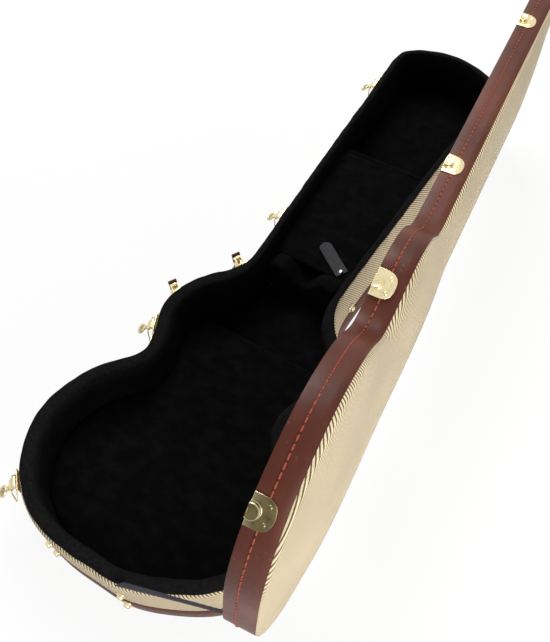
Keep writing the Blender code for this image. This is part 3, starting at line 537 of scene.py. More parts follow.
# Geometry Nodes trees for what repeats: each is a mesh of places that grows small shapes
class Growth:
    def __init__(self, name, sizes):
        self.tree = bpy.data.node_groups.new(name, "GeometryNodeTree")
        sockets = self.tree.interface
        sockets.new_socket("Geometry", in_out="INPUT", socket_type="NodeSocketGeometry")
        for size, value in sizes.items():
            kind = "NodeSocketInt" if isinstance(value, int) else "NodeSocketFloat"
            sockets.new_socket(size, in_out="INPUT", socket_type=kind).default_value = value
        sockets.new_socket("Material", in_out="INPUT", socket_type="NodeSocketMaterial")
        sockets.new_socket("Geometry", in_out="OUTPUT", socket_type="NodeSocketGeometry")
        self.source = self.tree.nodes.new("NodeGroupInput")

    def add(self, kind, inputs=None, output=0, **props):
        node = self.tree.nodes.new(kind)
        for key, value in props.items():
            setattr(node, key, value)
        for key, value in (inputs or {}).items():
            if isinstance(value, bpy.types.NodeSocket):
                self.tree.links.new(value, node.inputs[key])
            else:
                node.inputs[key].default_value = value
        return node.outputs[output]

    def bluntEnds(self):
        # Pushes a ball's sides out towards its ends, so that it reads as a short length of thread
        spot = self.add("GeometryNodeInputPosition")
        flat = self.add("ShaderNodeVectorMath", {0: spot, 1: (1.0, 1.0, 0.0)}, operation="MULTIPLY")
        height = self.add("ShaderNodeSeparateXYZ", {0: spot}, output=2)
        square = self.add("ShaderNodeMath", {0: height, 1: height}, operation="MULTIPLY")
        return self.add("ShaderNodeVectorMath", {0: flat, "Scale": square}, operation="SCALE")

    def given(self, name):
        return self.source.outputs[name]

    def end(self, instances):
        solid = self.add("GeometryNodeRealizeInstances", {0: instances})
        painted = self.add("GeometryNodeSetMaterial", {"Geometry": solid, "Material": self.given("Material")})
        out = self.tree.nodes.new("NodeGroupOutput")
        self.tree.links.new(painted, out.inputs[0])
        return self.tree


def grown(tree, mesh, material, **sizes):
    holder = inScene("growing", mesh)
    growth = holder.modifiers.new("growth", "NODES")
    growth.node_group = tree
    values = dict(sizes, Material=material)
    for item in tree.interface.items_tree:
        if item.in_out == "INPUT" and item.name in values:
            growth[item.identifier] = values[item.name]
    return evaluated(holder)


def stitchTree():
    # A line of places becomes a row of thread beads that follow it
    g = Growth("stitchRow", {"Pitch": 0.0095, "Stitch": 0.0070, "Thread": 0.0009})
    line = g.add("GeometryNodeMeshToCurve", {"Mesh": g.given("Geometry")})
    steps = g.add("GeometryNodeResampleCurve", {"Curve": line, "Length": g.given("Pitch")}, mode="LENGTH")
    bead = g.add("GeometryNodeMeshUVSphere", {"Segments": 8, "Rings": 8, "Radius": 1.0})
    blunt = g.add("GeometryNodeSetPosition", {"Geometry": bead, "Offset": g.bluntEnds()})
    half = g.add("ShaderNodeMath", {0: g.given("Stitch"), 1: 0.5}, operation="MULTIPLY")
    size = g.add("ShaderNodeCombineXYZ", {0: g.given("Thread"), 1: g.given("Thread"), 2: half})
    tangent = g.add("GeometryNodeInputTangent")
    turn = g.add("FunctionNodeAlignRotationToVector", {"Vector": tangent}, axis="Z")
    inputs = {"Points": steps, "Instance": blunt, "Rotation": turn, "Scale": size}
    return g.end(g.add("GeometryNodeInstanceOnPoints", inputs))


def rivetTree():
    # Each place becomes a low round head
    g = Growth("rivetHeads", {"Radius": 0.0024, "Rise": 0.0011})
    dome = g.add("GeometryNodeMeshUVSphere", {"Segments": 20, "Rings": 12, "Radius": 1.0})
    size = g.add("ShaderNodeCombineXYZ", {0: g.given("Radius"), 1: g.given("Radius"), 2: g.given("Rise")})
    sockets = {"Points": g.given("Geometry"), "Instance": dome, "Scale": size}
    return g.end(g.add("GeometryNodeInstanceOnPoints", sockets))


trees = {"stitch": stitchTree(), "rivet": rivetTree()}


def edgeMesh(points):
    mesh = bpy.data.meshes.new("line")
    mesh.from_pydata([tuple(p) for p in points], [(k, k + 1) for k in range(len(points) - 1)], [])
    return mesh


def dotMesh(points):
    mesh = bpy.data.meshes.new("dots")
    mesh.from_pydata([tuple(p) for p in points], [], [])
    return mesh


# Small shapes for the hardware
def joined(name, parts):
    work = bmesh.new()
    for mesh, placing in parts:
        copy = mesh.copy()
        if placing is not None:
            copy.transform(placing)
        work.from_mesh(copy)
        bpy.data.meshes.remove(copy)
    mesh = bpy.data.meshes.new(name)
    work.to_mesh(mesh)
    work.free()
    return mesh


def curveMesh(curve, points, closed):
    line = curve.splines.new("POLY")
    line.points.add(len(points) - 1)
    for spot, point in zip(line.points, points):
        spot.co = (*point, 1)
    line.use_cyclic_u = closed
    mesh = evaluated(inScene("drawing", curve))
    mesh.materials.clear()
    return cleaned(mesh, 1e-6)


def plateMesh(points, low, high, bevel=0.0002):
    # A flat outline with its edges broken, from the height low to the height high
    curve = bpy.data.curves.new("plate", "CURVE")
    curve.dimensions = "2D"
    curve.fill_mode = "BOTH"
    curve.extrude = (high - low) / 2 - bevel
    curve.bevel_depth = bevel
    curve.bevel_resolution = 2
    curve.offset = -bevel
    mesh = curveMesh(curve, [(x, y, 0) for x, y in points], True)
    mesh.transform(Matrix.Translation((0, 0, (low + high) / 2)))
    return mesh


def wireMesh(points, radius, closed=False, resolution=4):
    curve = bpy.data.curves.new("wire", "CURVE")
    curve.dimensions = "3D"
    curve.bevel_depth = radius
    curve.bevel_resolution = resolution
    curve.use_fill_caps = not closed
    return curveMesh(curve, points, closed)


def turnedMesh(profile, segments=36):
    # A round piece about Z; the profile runs from one end of the axis to the other
    corners, faces, rings = [], [], []
    for radius, z in profile:
        if radius == 0:
            rings.append([len(corners)])
            corners.append((0, 0, z))
            continue
        rings.append(list(range(len(corners), len(corners) + segments)))
        for k in range(segments):
            angle = 2 * math.pi * k / segments
            corners.append((radius * math.cos(angle), radius * math.sin(angle), z))
    for a, b in zip(rings, rings[1:]):
        for k in range(segments):
            after = (k + 1) % segments
            if len(a) == 1:
                faces.append((a[0], b[k], b[after]))
            elif len(b) == 1:
                faces.append((a[k], a[after], b[0]))
            else:
                faces.append((a[k], a[after], b[after], b[k]))
    return cleaned(newMesh("turned", corners, faces))


def rodMesh(radius, start, end, bevel=0.0002, segments=28):
    start, end = Vector(start), Vector(end)
    along = end - start
    half = along.length / 2
    profile = (
        (0, half), (radius - bevel, half), (radius, half - bevel), (radius, bevel - half),
        (radius - bevel, -half), (0, -half),
    )
    mesh = turnedMesh(profile, segments)
    turn = along.to_track_quat("Z", "Y").to_matrix().to_4x4()
    mesh.transform(Matrix.Translation((start + end) / 2) @ turn)
    return mesh


# From a plate lying flat to one on a wall: X outwards, Y along the wall, Z up
standing = Matrix(((0, 0, 1, 0), (1, 0, 0, 0), (0, 1, 0, 0), (0, 0, 0, 1)))
outwards = Matrix(((0, 0, 1, 0), (0, 1, 0, 0), (-1, 0, 0, 0), (0, 0, 0, 1)))


def hingeFrame(joint, sign=-1):
    # The joint's own frame on its wall: X outwards, Y along the axis, Z up
    along = Vector(joint["axis"]) * sign
    outward = Vector((along.y, -along.x, 0))
    turn = Matrix((outward, along, Vector((0, 0, 1)))).transposed().to_4x4()
    return Matrix.Translation(joint["pos_m"]) @ turn


def brokenEdges(node, body, width):
    # A metal CAD piece with its edges broken, so that they catch the light
    mesh = cleaned(frame["nodes"][node].data.copy(), 1e-6)
    holder = inScene("holder", mesh)
    bevel = holder.modifiers.new("bevel", "BEVEL")
    bevel.width = width
    bevel.segments = 2
    bevel.limit_method = "ANGLE"
    bevel.angle_limit = math.radians(50)
    bevel.use_clamp_overlap = True
    return addPiece(node + "_finished", evaluated(holder), "brass", body, (node,))


def roughened(mesh, amount, scale):
    # Moves each corner a little along its normal, so a soft surface is not ruled flat
    normals = [v.normal.copy() for v in mesh.vertices]
    for v, normal in zip(mesh.vertices, normals):
        v.co += normal * amount * noise.noise(v.co * scale)
    return mesh


# The base's shell
def alongCase(name):
    # A size that changes with the distance from the tail, at every place of the loop
    return np.interp(loopOuter[:, 1] + case["length"] / 2, *np.array(case[name]).T)


def rolledEdge(inset, steps=8):
    roll = alongCase("rollRadius")
    radius, middle = roll - inset, case["rollTop"] - alongCase("coverDrop") - roll
    edge = []
    for k in range(steps + 1):
        angle = math.pi / 2 * k / steps
        edge.append((roll - radius * math.cos(angle), middle + radius * math.sin(angle)))
    return edge


def makeBase():
    skin, plyIn, plyBack, floor = case["skin"], case["plyIn"], case["plyBack"], case["floor"]
    low = case["seam"] + case["gap"]
    cover = [(0, low), (0, 0.055), (0, 0.08)] + rolledEdge(0) + rolledEdge(skin)[::-1] + [(skin, low)]
    addPiece("base_tweed", loopMesh("base_tweed", cover), "tweed", "base", ("base_tweed_cover",))
    seam = case["seam"]
    trim = (
        (-0.0002, 0.0), (-0.0007, 0.0008), (-0.0009, seam * 0.5), (-0.0007, seam - 0.0010),
        (-0.0002, seam - 0.0002), (skin, seam), (skin, 0.0),
    )
    addPiece("base_trim", loopMesh("base_trim", trim), "leatherette", "base", ("base_trim_strip",))
    wall = [(plyIn, floor)] + rolledEdge(plyIn)[:-1]
    back = np.maximum(alongCase("rollRadius"), plyBack)
    wall += [(back, case["rollTop"] - plyIn - alongCase("coverDrop")), (plyBack, 0.080), (plyBack, floor)]
    addPiece("base_wall", loopMesh("base_wall", wall), "plywood", "base", ("base_side_frame",))
    for name, node, layer, look in (
        ("base_underside", "base_bottom_cover", (0.0, 0.0011), "tweed"),
        ("base_panel", "base_bottom_panel", (0.0014, 0.0054), "plywood"),
    ):
        addPiece(name, flatFill(name, plyIn, *layer), look, "base", (node,))


def flatFill(name, inset, low, high):
    flat = loopOuter + loopInward * inset
    count = len(flat)
    corners = [(x, y, z) for z in (low, high) for x, y in flat]
    hinge = list(range(case["rows"]))
    front = [0] + list(range(count - 1, case["rows"] - 1, -1))
    faces = [(k, (k + 1) % count, (k + 1) % count + count, k + count) for k in range(count)]
    for start in (0, count):
        for k in range(case["rows"] - 1):
            a, b, c, d = hinge[k], hinge[k + 1], front[k + 1], front[k]
            faces.append(tuple(dict.fromkeys(start + v for v in (a, b, c, d))))
        faces.append((start + hinge[-1], start + case["rows"], start + front[case["rows"] - 1]))
    uvs = [(corners[v][0], corners[v][1]) for face in faces for v in face]
    return cleaned(newMesh(name, corners, faces, uvs))


def makeWallPadding():
    # The lining: a soft roll out over the rim, then down the inside of the wall
    depth = padDepth(loopOuter[:, 1])
    back, rim, roll = case["plyBack"] + 0.0005, case["rim"], alongCase("rollRadius")
    cover = case["rollTop"] - alongCase("coverDrop")
    rise = rim - cover
    section = [(back, case["floor"]), (back, 0.078), (np.maximum(roll, back), cover - 0.0015)]
    section += [
        (roll * 0.62, cover - 0.0006), (roll * 0.46, cover + rise * 0.08), (roll * 0.46, cover + rise * 0.34),
    ]
    section += [(roll * 0.56, cover + rise * 0.62), (roll * 0.80, cover + rise * 0.84)]
    out = roll * 0.80
    top = (
        (0.12, 0.0003), (0.28, 0.0), (0.48, 0.0), (0.65, 0.0004), (0.79, 0.0016), (0.90, 0.0040),
        (0.97, 0.0080),
    )
    section += [(out + (depth - out) * share, rim - fall) for share, fall in top]
    section += [(depth + 0.0004, rim - 0.014), (depth + 0.0010, 0.075), (depth + 0.0013, 0.055)]
    section += [(depth + 0.0008, 0.035), (depth, 0.020), (depth, case["floor"])]
    mesh = roughened(loopMesh("wall_lining", section), 0.0012, 55.0)
    piece = addPiece("wall_lining", mesh, "plush", "base", ("base_wall_padding",), 60)


# Pads between the walls: rows by distance from the tail, columns from the front side to the hinge side
def sideEdge(at, extra):
    fine = np.linspace(0, 1, 2001)
    depth = padDepth(at(fine)[:, 1]) + extra
    points = insetPoints(at, fine, depth)
    return points[np.argsort(points[:, 1])]


def eased(count):
    return (1 - np.cos(np.linspace(0, math.pi, count + 1))) / 2


def padMesh(name, start, end, low, high, edge, rise=0.0, extra=0.0003, shape=(44, 30), tufts=0.0):
    front, hinge = sideEdge(frontAt, extra), sideEdge(hingeAt, extra)
    half = case["length"] / 2
    first = max(start - half, front[0, 1], hinge[0, 1])
    last = min(end - half, front[-1, 1], hinge[-1, 1])
    rows = first + (last - first) * eased(shape[0])
    left = np.interp(rows, front[:, 1], front[:, 0])
    right = np.interp(rows, hinge[:, 1], hinge[:, 0])
    across = eased(shape[1])
    x = left[:, None] + (right - left)[:, None] * across[None, :]
    y = np.broadcast_to(rows[:, None], x.shape)
    flat = np.stack((x, y), -1).reshape(-1, 2)
    border = np.concatenate((
        np.column_stack((left, rows)), np.column_stack((right, rows)),
        np.column_stack((np.linspace(left[0], right[0], 80), np.full(80, rows[0]))),
        np.column_stack((np.linspace(left[-1], right[-1], 80), np.full(80, rows[-1]))),
    ))
    fine = []
    for a, b in ((0, len(rows)), (len(rows), 2 * len(rows))):
        side = border[a:b]
        for share in (0.0, 0.25, 0.5, 0.75):
            fine.append(side[:-1] + (side[1:] - side[:-1]) * share)
    border = np.concatenate(fine + [border])
    distance = np.array([np.sqrt(((border - p) ** 2).sum(1)).min() for p in flat])
    t = np.clip(distance / edge, 0, 1)
    z = high - edge * (1 - np.sqrt(1 - (1 - t) ** 2)) + rise * smoothstep(distance, 0, 0.07)
    corners = [(*p, h) for p, h in zip(flat, z)] + [(*p, low) for p in flat]
    mesh = cleaned(newMesh(name, corners, sheetFaces(shape[1] + 1, shape[0] + 1)), 1e-6)
    return roughened(mesh, tufts, 70.0) if tufts else mesh


pads = {
    "body_floor": {
        "node": "body_floor_pad", "span": (0.0, 0.403), "height": (0.0057, 0.030), "edge": 0.009,
        "rise": 0.002,
    },
    "well_floor": {
        "node": "well_floor_pad", "span": (0.4033, 0.5152), "height": (0.0057, 0.0095), "edge": 0.0035,
        "rise": 0.0,
    },
    "compartment_floor": {
        "node": "compartment_floor_pad", "span": (0.546, 0.792), "height": (0.0057, 0.0095), "edge": 0.0035,
        "rise": 0.0,
    },
    "headstock_floor": {
        "node": "headstock_floor_pad", "span": (0.8013, 1.08), "height": (0.0057, 0.0105), "edge": 0.0040,
        "rise": 0.001,
    },
}


def makePads():
    for name, pad in pads.items():
        mesh = padMesh(name, *pad["span"], *pad["height"], pad["edge"], pad["rise"], tufts=0.0009)
        piece = addPiece(name, mesh, "plush", "base", (pad["node"],), 70)
    board = padMesh("divider_board", 0.7923, 0.8010, 0.0057, 0.0696, 0.0035, shape=(12, 30), tufts=0.0004)
    addPiece("divider_board", board, "plush", "base", ("compartment_divider",), 70)
    cover = padMesh(
        "compartment_cover_board", 0.5465, 0.7912, 0.0662, 0.0702, 0.0022, 0.0004, extra=0.0016, tufts=0.0004,
    )
    addPiece("compartment_cover_board", cover, "plush", "compartment_cover", ("compartment_lid",), 70)


cradle = {
    "span": (0.5155, 0.5455), "top": 0.077, "notch": 0.030, "inset": 0.0165, "edge": 0.010, "low": 0.0057,
}


def makeCradle():
    # A padded block across the neck: a hollow between two lobes, rounded towards the body and the head
    middle = sum(cradle["span"]) / 2
    left = insetPoints(frontAt, whereAt(frontAt, middle), cradle["inset"])[0, 0]
    right = insetPoints(hingeAt, whereAt(hingeAt, middle), cradle["inset"])[0, 0]
    centre = (left + right) / 2 - 0.004
    half = (cradle["span"][1] - cradle["span"][0]) / 2
    centreY = middle - case["length"] / 2
    corners, faces = [], []
    columns, turns = 56, 20
    for c in range(columns + 1):
        x = left + (right - left) * float(eased(columns)[c])
        dip = 0.5 + 0.5 * math.cos(math.pi * min(abs(x - centre) / 0.040, 1))
        side = min(x - left, right - x)
        fall = 0.010 * (1 - min(side / 0.014, 1)) ** 2
        top = cradle["top"] - cradle["notch"] * dip - fall
        corners += [(x, centreY - half, cradle["low"]), (x, centreY - half - 0.0001, 0.030)]
        for k in range(turns + 1):
            angle = math.pi * k / turns
            reach = half * math.copysign(abs(math.cos(angle)) ** 0.62, -math.cos(angle))
            lift = cradle["edge"] * (abs(math.sin(angle)) ** 0.62 - 1)
            corners.append((x, centreY + reach, top + lift))
        corners += [(x, centreY + half + 0.0001, 0.030), (x, centreY + half, cradle["low"])]
    wide = turns + 5
    for c in range(columns):
        for k in range(wide):
            after = (k + 1) % wide
            a, b = c * wide, (c + 1) * wide
            faces.append((a + k, a + after, b + after, b + k))
    faces += [tuple(range(wide)), tuple(columns * wide + k for k in range(wide - 1, -1, -1))]
    mesh = roughened(cleaned(newMesh("cradle_block", corners, faces)), 0.0010, 70.0)
    piece = addPiece("cradle_block", mesh, "plush", "base", ("neck_cradle",), 70)


def makeLedges():
    low, high = 0.0570, 0.0658
    for name, at in (("front", frontAt), ("hinge", hingeAt)):
        start, end = whereAt(at, 0.548), whereAt(at, 0.7903)
        where = np.linspace(start, end, 40)
        depth = padDepth(at(where)[:, 1])
        section = (
            (0.0004, low), (0.0004, high - 0.0003), (0.0060, high - 0.0003), (0.0078, high - 0.002),
            (0.0080, low + 0.001), (0.0070, low),
        )
        corners = []
        for inset, height in section:
            flat = insetPoints(at, where, depth + inset)
            corners += [(p[0], p[1], height) for p in flat]
        count, total = len(where), len(section)
        faces = []
        for level in range(total):
            a, b = level * count, (level + 1) % total * count
            faces += [(a + k, a + k + 1, b + k + 1, b + k) for k in range(count - 1)]
        faces += [
            tuple(level * count for level in range(total)),
            tuple(level * count + count - 1 for level in range(total)),
        ]
        mesh = cleaned(newMesh("ledge", corners, faces))
        addPiece("ledge_" + name, mesh, "plush", "base", ("compartment_ledge_" + name,))


tab = {"rivet": (0.049, 0.559), "end": (0.004, 0.588), "half": 0.0105, "height": 0.0702, "thick": 0.0011}


def makeTab():
    # A leather pull tab lying back on the compartment's cover, held by one rivet
    half = case["length"] / 2
    start = Vector((tab["rivet"][0], tab["rivet"][1] - half, 0))
    end = Vector((tab["end"][0], tab["end"][1] - half, 0))
    along = (end - start).normalized()
    across = Vector((-along.y, along.x, 0))
    reach = (end - start).length
    rows, columns = 36, 12
    corners = []
    for side in (1, 0):
        for r in range(rows + 1):
            s = -0.0045 + (reach + 0.0045 + tab["half"]) * r / rows
            past = max(s - reach, 0) / tab["half"]
            wide = tab["half"] * math.sqrt(max(1 - past**2, 0.0004))
            lift = 0.0030 * float(smoothstep(s, 0.012, reach + tab["half"]))
            for c in range(columns + 1):
                t = 2 * c / columns - 1
                spot = start + along * s + across * wide * t
                bow = -0.0005 * t * t * float(smoothstep(s, 0.01, 0.03))
                z = tab["height"] + 0.0005 + lift + bow + 0.0005 + side * tab["thick"]
                corners.append((spot.x, spot.y, z))
    mesh = cleaned(newMesh("pull_strap", corners, sheetFaces(columns + 1, rows + 1)))
    addPiece("pull_strap", mesh, "tab", "compartment_cover", ("pull_tab",), 60)
    head = turnedMesh(
        ((0, 0.0042), (0.0018, 0.0040), (0.0033, 0.0032), (0.0042, 0.0018), (0.0042, 0.0010), (0, 0.0010))
    )
    placing = Matrix.Translation((start.x, start.y, tab["height"] + 0.0006))
    addPiece("strap_rivet", head, "nickel", "compartment_cover", ("pull_tab_rivet",), placing=placing)


stay = {"turnLow": -42.0, "turnHigh": -57.0}


def makeStay():
    # The ribbon that stops the lid: flat and straight between base and lid, twisting a little along its
    # length
    half = case["length"] / 2
    low = Vector((0.057, 0.0065 - half, case["rim"] + 0.0008))
    high = opened @ Vector((0.045, 0.0065 - half, lidShape["bottom"] - 0.0008))
    along = (high - low).normalized()
    lengthwise = (Vector((0, 1, 0)) - along * along.y).normalized()
    steps, wide, thick = 60, 0.0055, 0.0006
    corners, faces, uvs = [], [], []
    for k in range(steps + 1):
        spot = low.lerp(high, k / steps)
        turn = math.radians(
            stay["turnLow"] + (stay["turnHigh"] - stay["turnLow"]) * float(smoothstep(k / steps, 0, 0.8))
        )
        across = Matrix.Rotation(turn, 3, along) @ lengthwise
        side = across.cross(along)
        for a, b in ((-1, -1), (1, -1), (1, 1), (-1, 1)):
            corners.append(spot + across * wide * a + side * thick * b)
    around = (0.0, 0.011, 0.0122, 0.0232, 0.0244)
    run = (high - low).length
    for k in range(steps):
        for c in range(4):
            after = (c + 1) % 4
            faces.append((k * 4 + c, k * 4 + after, k * 4 + 4 + after, k * 4 + 4 + c))
            uvs += [(around[c], run * k / steps), (around[c + 1], run * k / steps)]
            uvs += [(around[c + 1], run * (k + 1) / steps), (around[c], run * (k + 1) / steps)]
    faces += [(0, 1, 2, 3), tuple(steps * 4 + c for c in (3, 2, 1, 0))]
    uvs += [(0, 0), (0.011, 0), (0.011, 0.001), (0, 0.001)] * 2
    mesh = cleaned(newMesh("stay_strap", corners, faces, uvs))
    strap = addPiece("stay_strap", mesh, "ribbon", None, ("stay_ribbon",))
    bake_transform(strap)


# The lid, made closed and then turned open
denseEdge = (0, 0.12, 0.35, 0.7, 1.2, 1.8, 2.5, 4.0, 7.0, 11.0)


def toOutline(flat):
    # Distance from each place to the outline
    gaps = np.empty(len(flat))
    for k in range(0, len(flat), 2000):
        apart = flat[k : k + 2000, None] - loopOuter[None]
        gaps[k : k + 2000] = np.sqrt((apart**2).sum(2)).min(1)
    return gaps


def skirtDrop(y):
    return np.interp(y + case["length"] / 2, *np.array(lidShape["skirt"]).T)


def domeLayer(inset, rings, columns, shoulder):
    # One face of a panel that follows the lid's arch, rounded towards its edge where it has a shoulder
    sides = [np.stack([insetPoints(at, places, inset + s) for s in rings], 1) for at in (frontAt, hingeAt)]
    outs = [-inwardOf(at, places) for at in (frontAt, hingeAt)]
    share = np.linspace(0, 1, columns + 2)[1:-1]
    first, last = sides[0][:, -1], sides[1][:, -1]
    middle = first[:, None] + (last - first)[:, None] * share[None, :, None]
    flat = np.concatenate((sides[0], middle, sides[1][:, ::-1]), 1)
    count, known = flat.shape[1], len(rings)
    gaps = toOutline(flat.reshape(-1, 2)).reshape(flat.shape[:2])
    gaps[:, :known] = inset + rings
    gaps[:, -known:] = (inset + rings)[::-1]
    height = lidHeight(flat)
    cloth = flat.copy()
    if shoulder:
        t = np.clip(gaps / shoulder, 0, 1)
        height = height + shoulder * np.sqrt(1 - (1 - t) ** 2) * (1 - smoothstep(gaps, shoulder, 0.060))
        arc = shoulder * np.arccos(np.clip(1 - rings / shoulder, -1, 1))
        spare = np.where(rings < shoulder, arc - rings, (math.pi / 2 - 1) * shoulder)
        push = ((math.pi / 2 - 1) * shoulder - spare)[None, :, None]
        cloth[:, :known] += outs[0][:, None] * push
        cloth[:, -known:] += outs[1][:, None] * push[:, ::-1]
        for edge, out in ((0, outs[0]), (-1, outs[1])):
            drop = skirtDrop(flat[:, edge, 1])
            ring, low = flat[:, edge][:, None], (height[:, edge] - drop)[:, None]
            hem = cloth[:, edge][:, None] + (out * drop[:, None])[:, None]
            order = slice(None, None, 1 if edge == 0 else -1)
            flat = np.hstack((ring, flat)[order])
            height = np.hstack((low, height)[order])
            cloth = np.hstack((hem, cloth)[order])
    return np.dstack((flat, lidShape["bottom"] + height)), cloth


def domeMesh(name, inset, drop, thick, shoulder=0.0, columns=18, fine=denseEdge, innerStep=0.0):
    rings = np.array(fine) / 1000
    upper, cloth = domeLayer(inset, rings, columns, shoulder)
    lower, under = domeLayer(inset + innerStep, rings, columns, shoulder)
    upper[..., 2] -= drop
    lower[..., 2] -= drop + thick
    rows, count = upper.shape[:2]
    total = rows * count
    corners = np.concatenate((upper.reshape(-1, 3), lower.reshape(-1, 3)))
    uvs = np.concatenate((cloth.reshape(-1, 2), under.reshape(-1, 2)))
    faces = []
    for r in range(rows - 1):
        for c in range(count - 1):
            k = r * count + c
            faces.append((k, k + 1, k + count + 1, k + count))
            faces.append(tuple(v + total for v in (k, k + count, k + count + 1, k + 1)))
        for c in (0, count - 1):
            k = r * count + c
            faces.append((k, k + count, k + count + total, k + total))
    mesh = newMesh(name, corners, faces, [uvs[v] for face in faces for v in face])
    return cleaned(mesh, 2e-6)


def makeLid():
    bottom, wall = lidShape["bottom"], lidShape["wall"]

    def under(inset, depth):
        return bottom + lidHeight(loopOuter + loopInward * inset) - depth

    skin, top = case["skin"], bottom + wall - case["gap"] - skirtDrop(loopOuter[:, 1])
    band = (
        (0.0050, bottom), (0.0004, bottom), (0.0001, bottom + 0.0001), (0.0, bottom + 0.0004),
        (-0.0001, bottom + 0.012), (-0.0001, bottom + 0.026), (0.0, top - 0.0004), (0.0003, top),
        (skin, top), (skin, bottom + 0.0010), (0.0050, bottom + 0.0010),
    )
    addPiece("lid_band", loopMesh("lid_band", band), "band", "lid", ("lid_leather_band",), placing=opened)
    cover = domeMesh("lid_tweed", 0.0, 0.0, 0.0010, lidShape["edgeRound"], innerStep=0.0006)
    addPiece("lid_tweed", cover, "tweed", "lid", ("lid_tweed_cover",), placing=opened)
    panel = domeMesh("lid_panel", case["plyIn"] + 0.0006, 0.0014, 0.0038, lidShape["edgeRound"])
    addPiece("lid_panel", panel, "plywood", "lid", ("lid_top_panel",), placing=opened)
    low, back, depth = bottom + 0.0016, case["plyBack"], 0.0024
    face = case["plyIn"]
    section = ((face, low), (face, under(face, depth)), (back, under(back, depth)), (back, low))
    addPiece("lid_wall", loopMesh("lid_wall", section), "plywood", "lid", ("lid_side_frame",), placing=opened)
    pad = lidShape["pad"]
    lining = [
        (0.0056, bottom + 0.0013), (0.0056, under(0.0056, 0.0070)), (pad, under(pad, 0.0070)),
        (pad + 0.0006, bottom + 0.020), (pad + 0.0002, bottom + 0.008), (pad - 0.0006, bottom + 0.004),
        (pad - 0.0022, bottom + 0.0012), (pad - 0.0045, bottom + 0.0001),
        (0.0060, bottom), (0.0053, bottom + 0.0004),
    ]
    mesh = roughened(loopMesh("lid_lining", lining), 0.0006, 60.0)
    piece = addPiece("lid_lining", mesh, "plush", "lid", ("lid_wall_padding",), 60, opened)
    ceiling = domeMesh("lid_ceiling", pad + 0.0012, 0.0040, 0.0095, 0.0, 22, (0, 1.5, 4, 8))
    mesh = roughened(ceiling, 0.0012, 45.0)
    piece = addPiece("lid_ceiling", mesh, "plush", "lid", ("lid_top_padding",), 70, opened)
    print("lid made")


stitching = {
    "height": 0.0150, "pitch": 0.0088, "stitch": 0.0079, "thread": 0.00095, "proud": 0.0003,
    "keeperGap": 0.0185,
}
latchStations = (0.043, 0.331, 0.601, 0.950)


def makeStitches():
    # Thread along the band, with a needle hole between two stitches, left out under the keepers; each hole is
    # a near-black dome, painted shade for the hollow
    step = 0.0005
    height = lidShape["bottom"] + stitching["height"]
    steps = np.linspace(0, 1, 9001)
    sides = [at(steps) + -inwardOf(at, steps) * stitching["proud"] for at in (hingeAt, frontAt)]
    way = np.concatenate((sides[0], sides[1][::-1][1:]))
    reach = np.concatenate(([0], np.cumsum(np.hypot(*np.diff(way, axis=0).T))))
    even = np.arange(0, reach[-1], step)
    way = np.column_stack([np.interp(even, reach, way[:, k]) for k in (0, 1)])
    keepers = np.array([frontAt(whereAt(frontAt, s))[0] for s in latchStations])
    apart = np.sqrt(((way[:, None] - keepers[None]) ** 2).sum(2)).min(1)
    runs, run = [], []
    for point, free in zip(way, apart > stitching["keeperGap"]):
        if free:
            run.append((point[0], point[1], height))
        elif run:
            runs.append(run)
            run = []
    runs.append(run)
    threads, holes = [], []
    for run in runs:
        if len(run) * step < 2 * stitching["pitch"]:
            continue
        line = [opened @ Vector(p) for p in run]
        count = max(round(len(run) * step / stitching["pitch"]), 1)
        pitch = (len(run) - 1) * step / count
        sizes = {"Pitch": pitch, "Stitch": stitching["stitch"], "Thread": stitching["thread"]}
        threads.append((grown(trees["stitch"], edgeMesh(line), looks["thread"], **sizes), None))
        spots = [line[min(round((k + 0.5) * pitch / step), len(line) - 1)] for k in range(count)]
        sizes = {"Radius": 0.0010, "Rise": 0.0013}
        holes.append((grown(trees["rivet"], dotMesh(spots), looks["hole"], **sizes), None))
    for name, look, parts in (("band_stitches", "thread", threads), ("needle_hole_shade", "hole", holes)):
        addPiece(name, joined(name, parts), look, "lid", smoothAngle=180)
    print("stitches made")


# The hardware
latch = {
    "leverPivot": (0.0066, 0.0, -0.0120),
    "bailPivot": (-0.0015, 0.0, -0.0100),
    "bailLength": 0.03334,
    "bailHalf": 0.0104,
    "leverOpen": 50.0,
    "bailRest": 6.0,
    "aged": (1,),
}
flatToSide = Matrix(((1, 0, 0, 0), (0, 0, -1, 0), (0, 1, 0, 0), (0, 0, 0, 1)))


def shield(half, top, bottom, steps=28, square=0.78, straight=0.36):
    # Straight at the end near the rim, blunt and round at the other
    points = [(half, top), (-half, top)]
    start = top + (bottom - top) * straight
    for k in range(steps + 1):
        angle = math.pi * k / steps
        x = math.copysign(abs(math.cos(angle)) ** square, math.cos(angle))
        points.append((-half * x, start + (bottom - start) * math.sin(angle) ** square))
    return points


def rivetRow(spots, face, radius, rise):
    # Round heads on a plate that lies flat
    return grown(
        trees["rivet"], dotMesh([(x, y, face) for x, y in spots]), looks["brass"], Radius=radius, Rise=rise,
    )


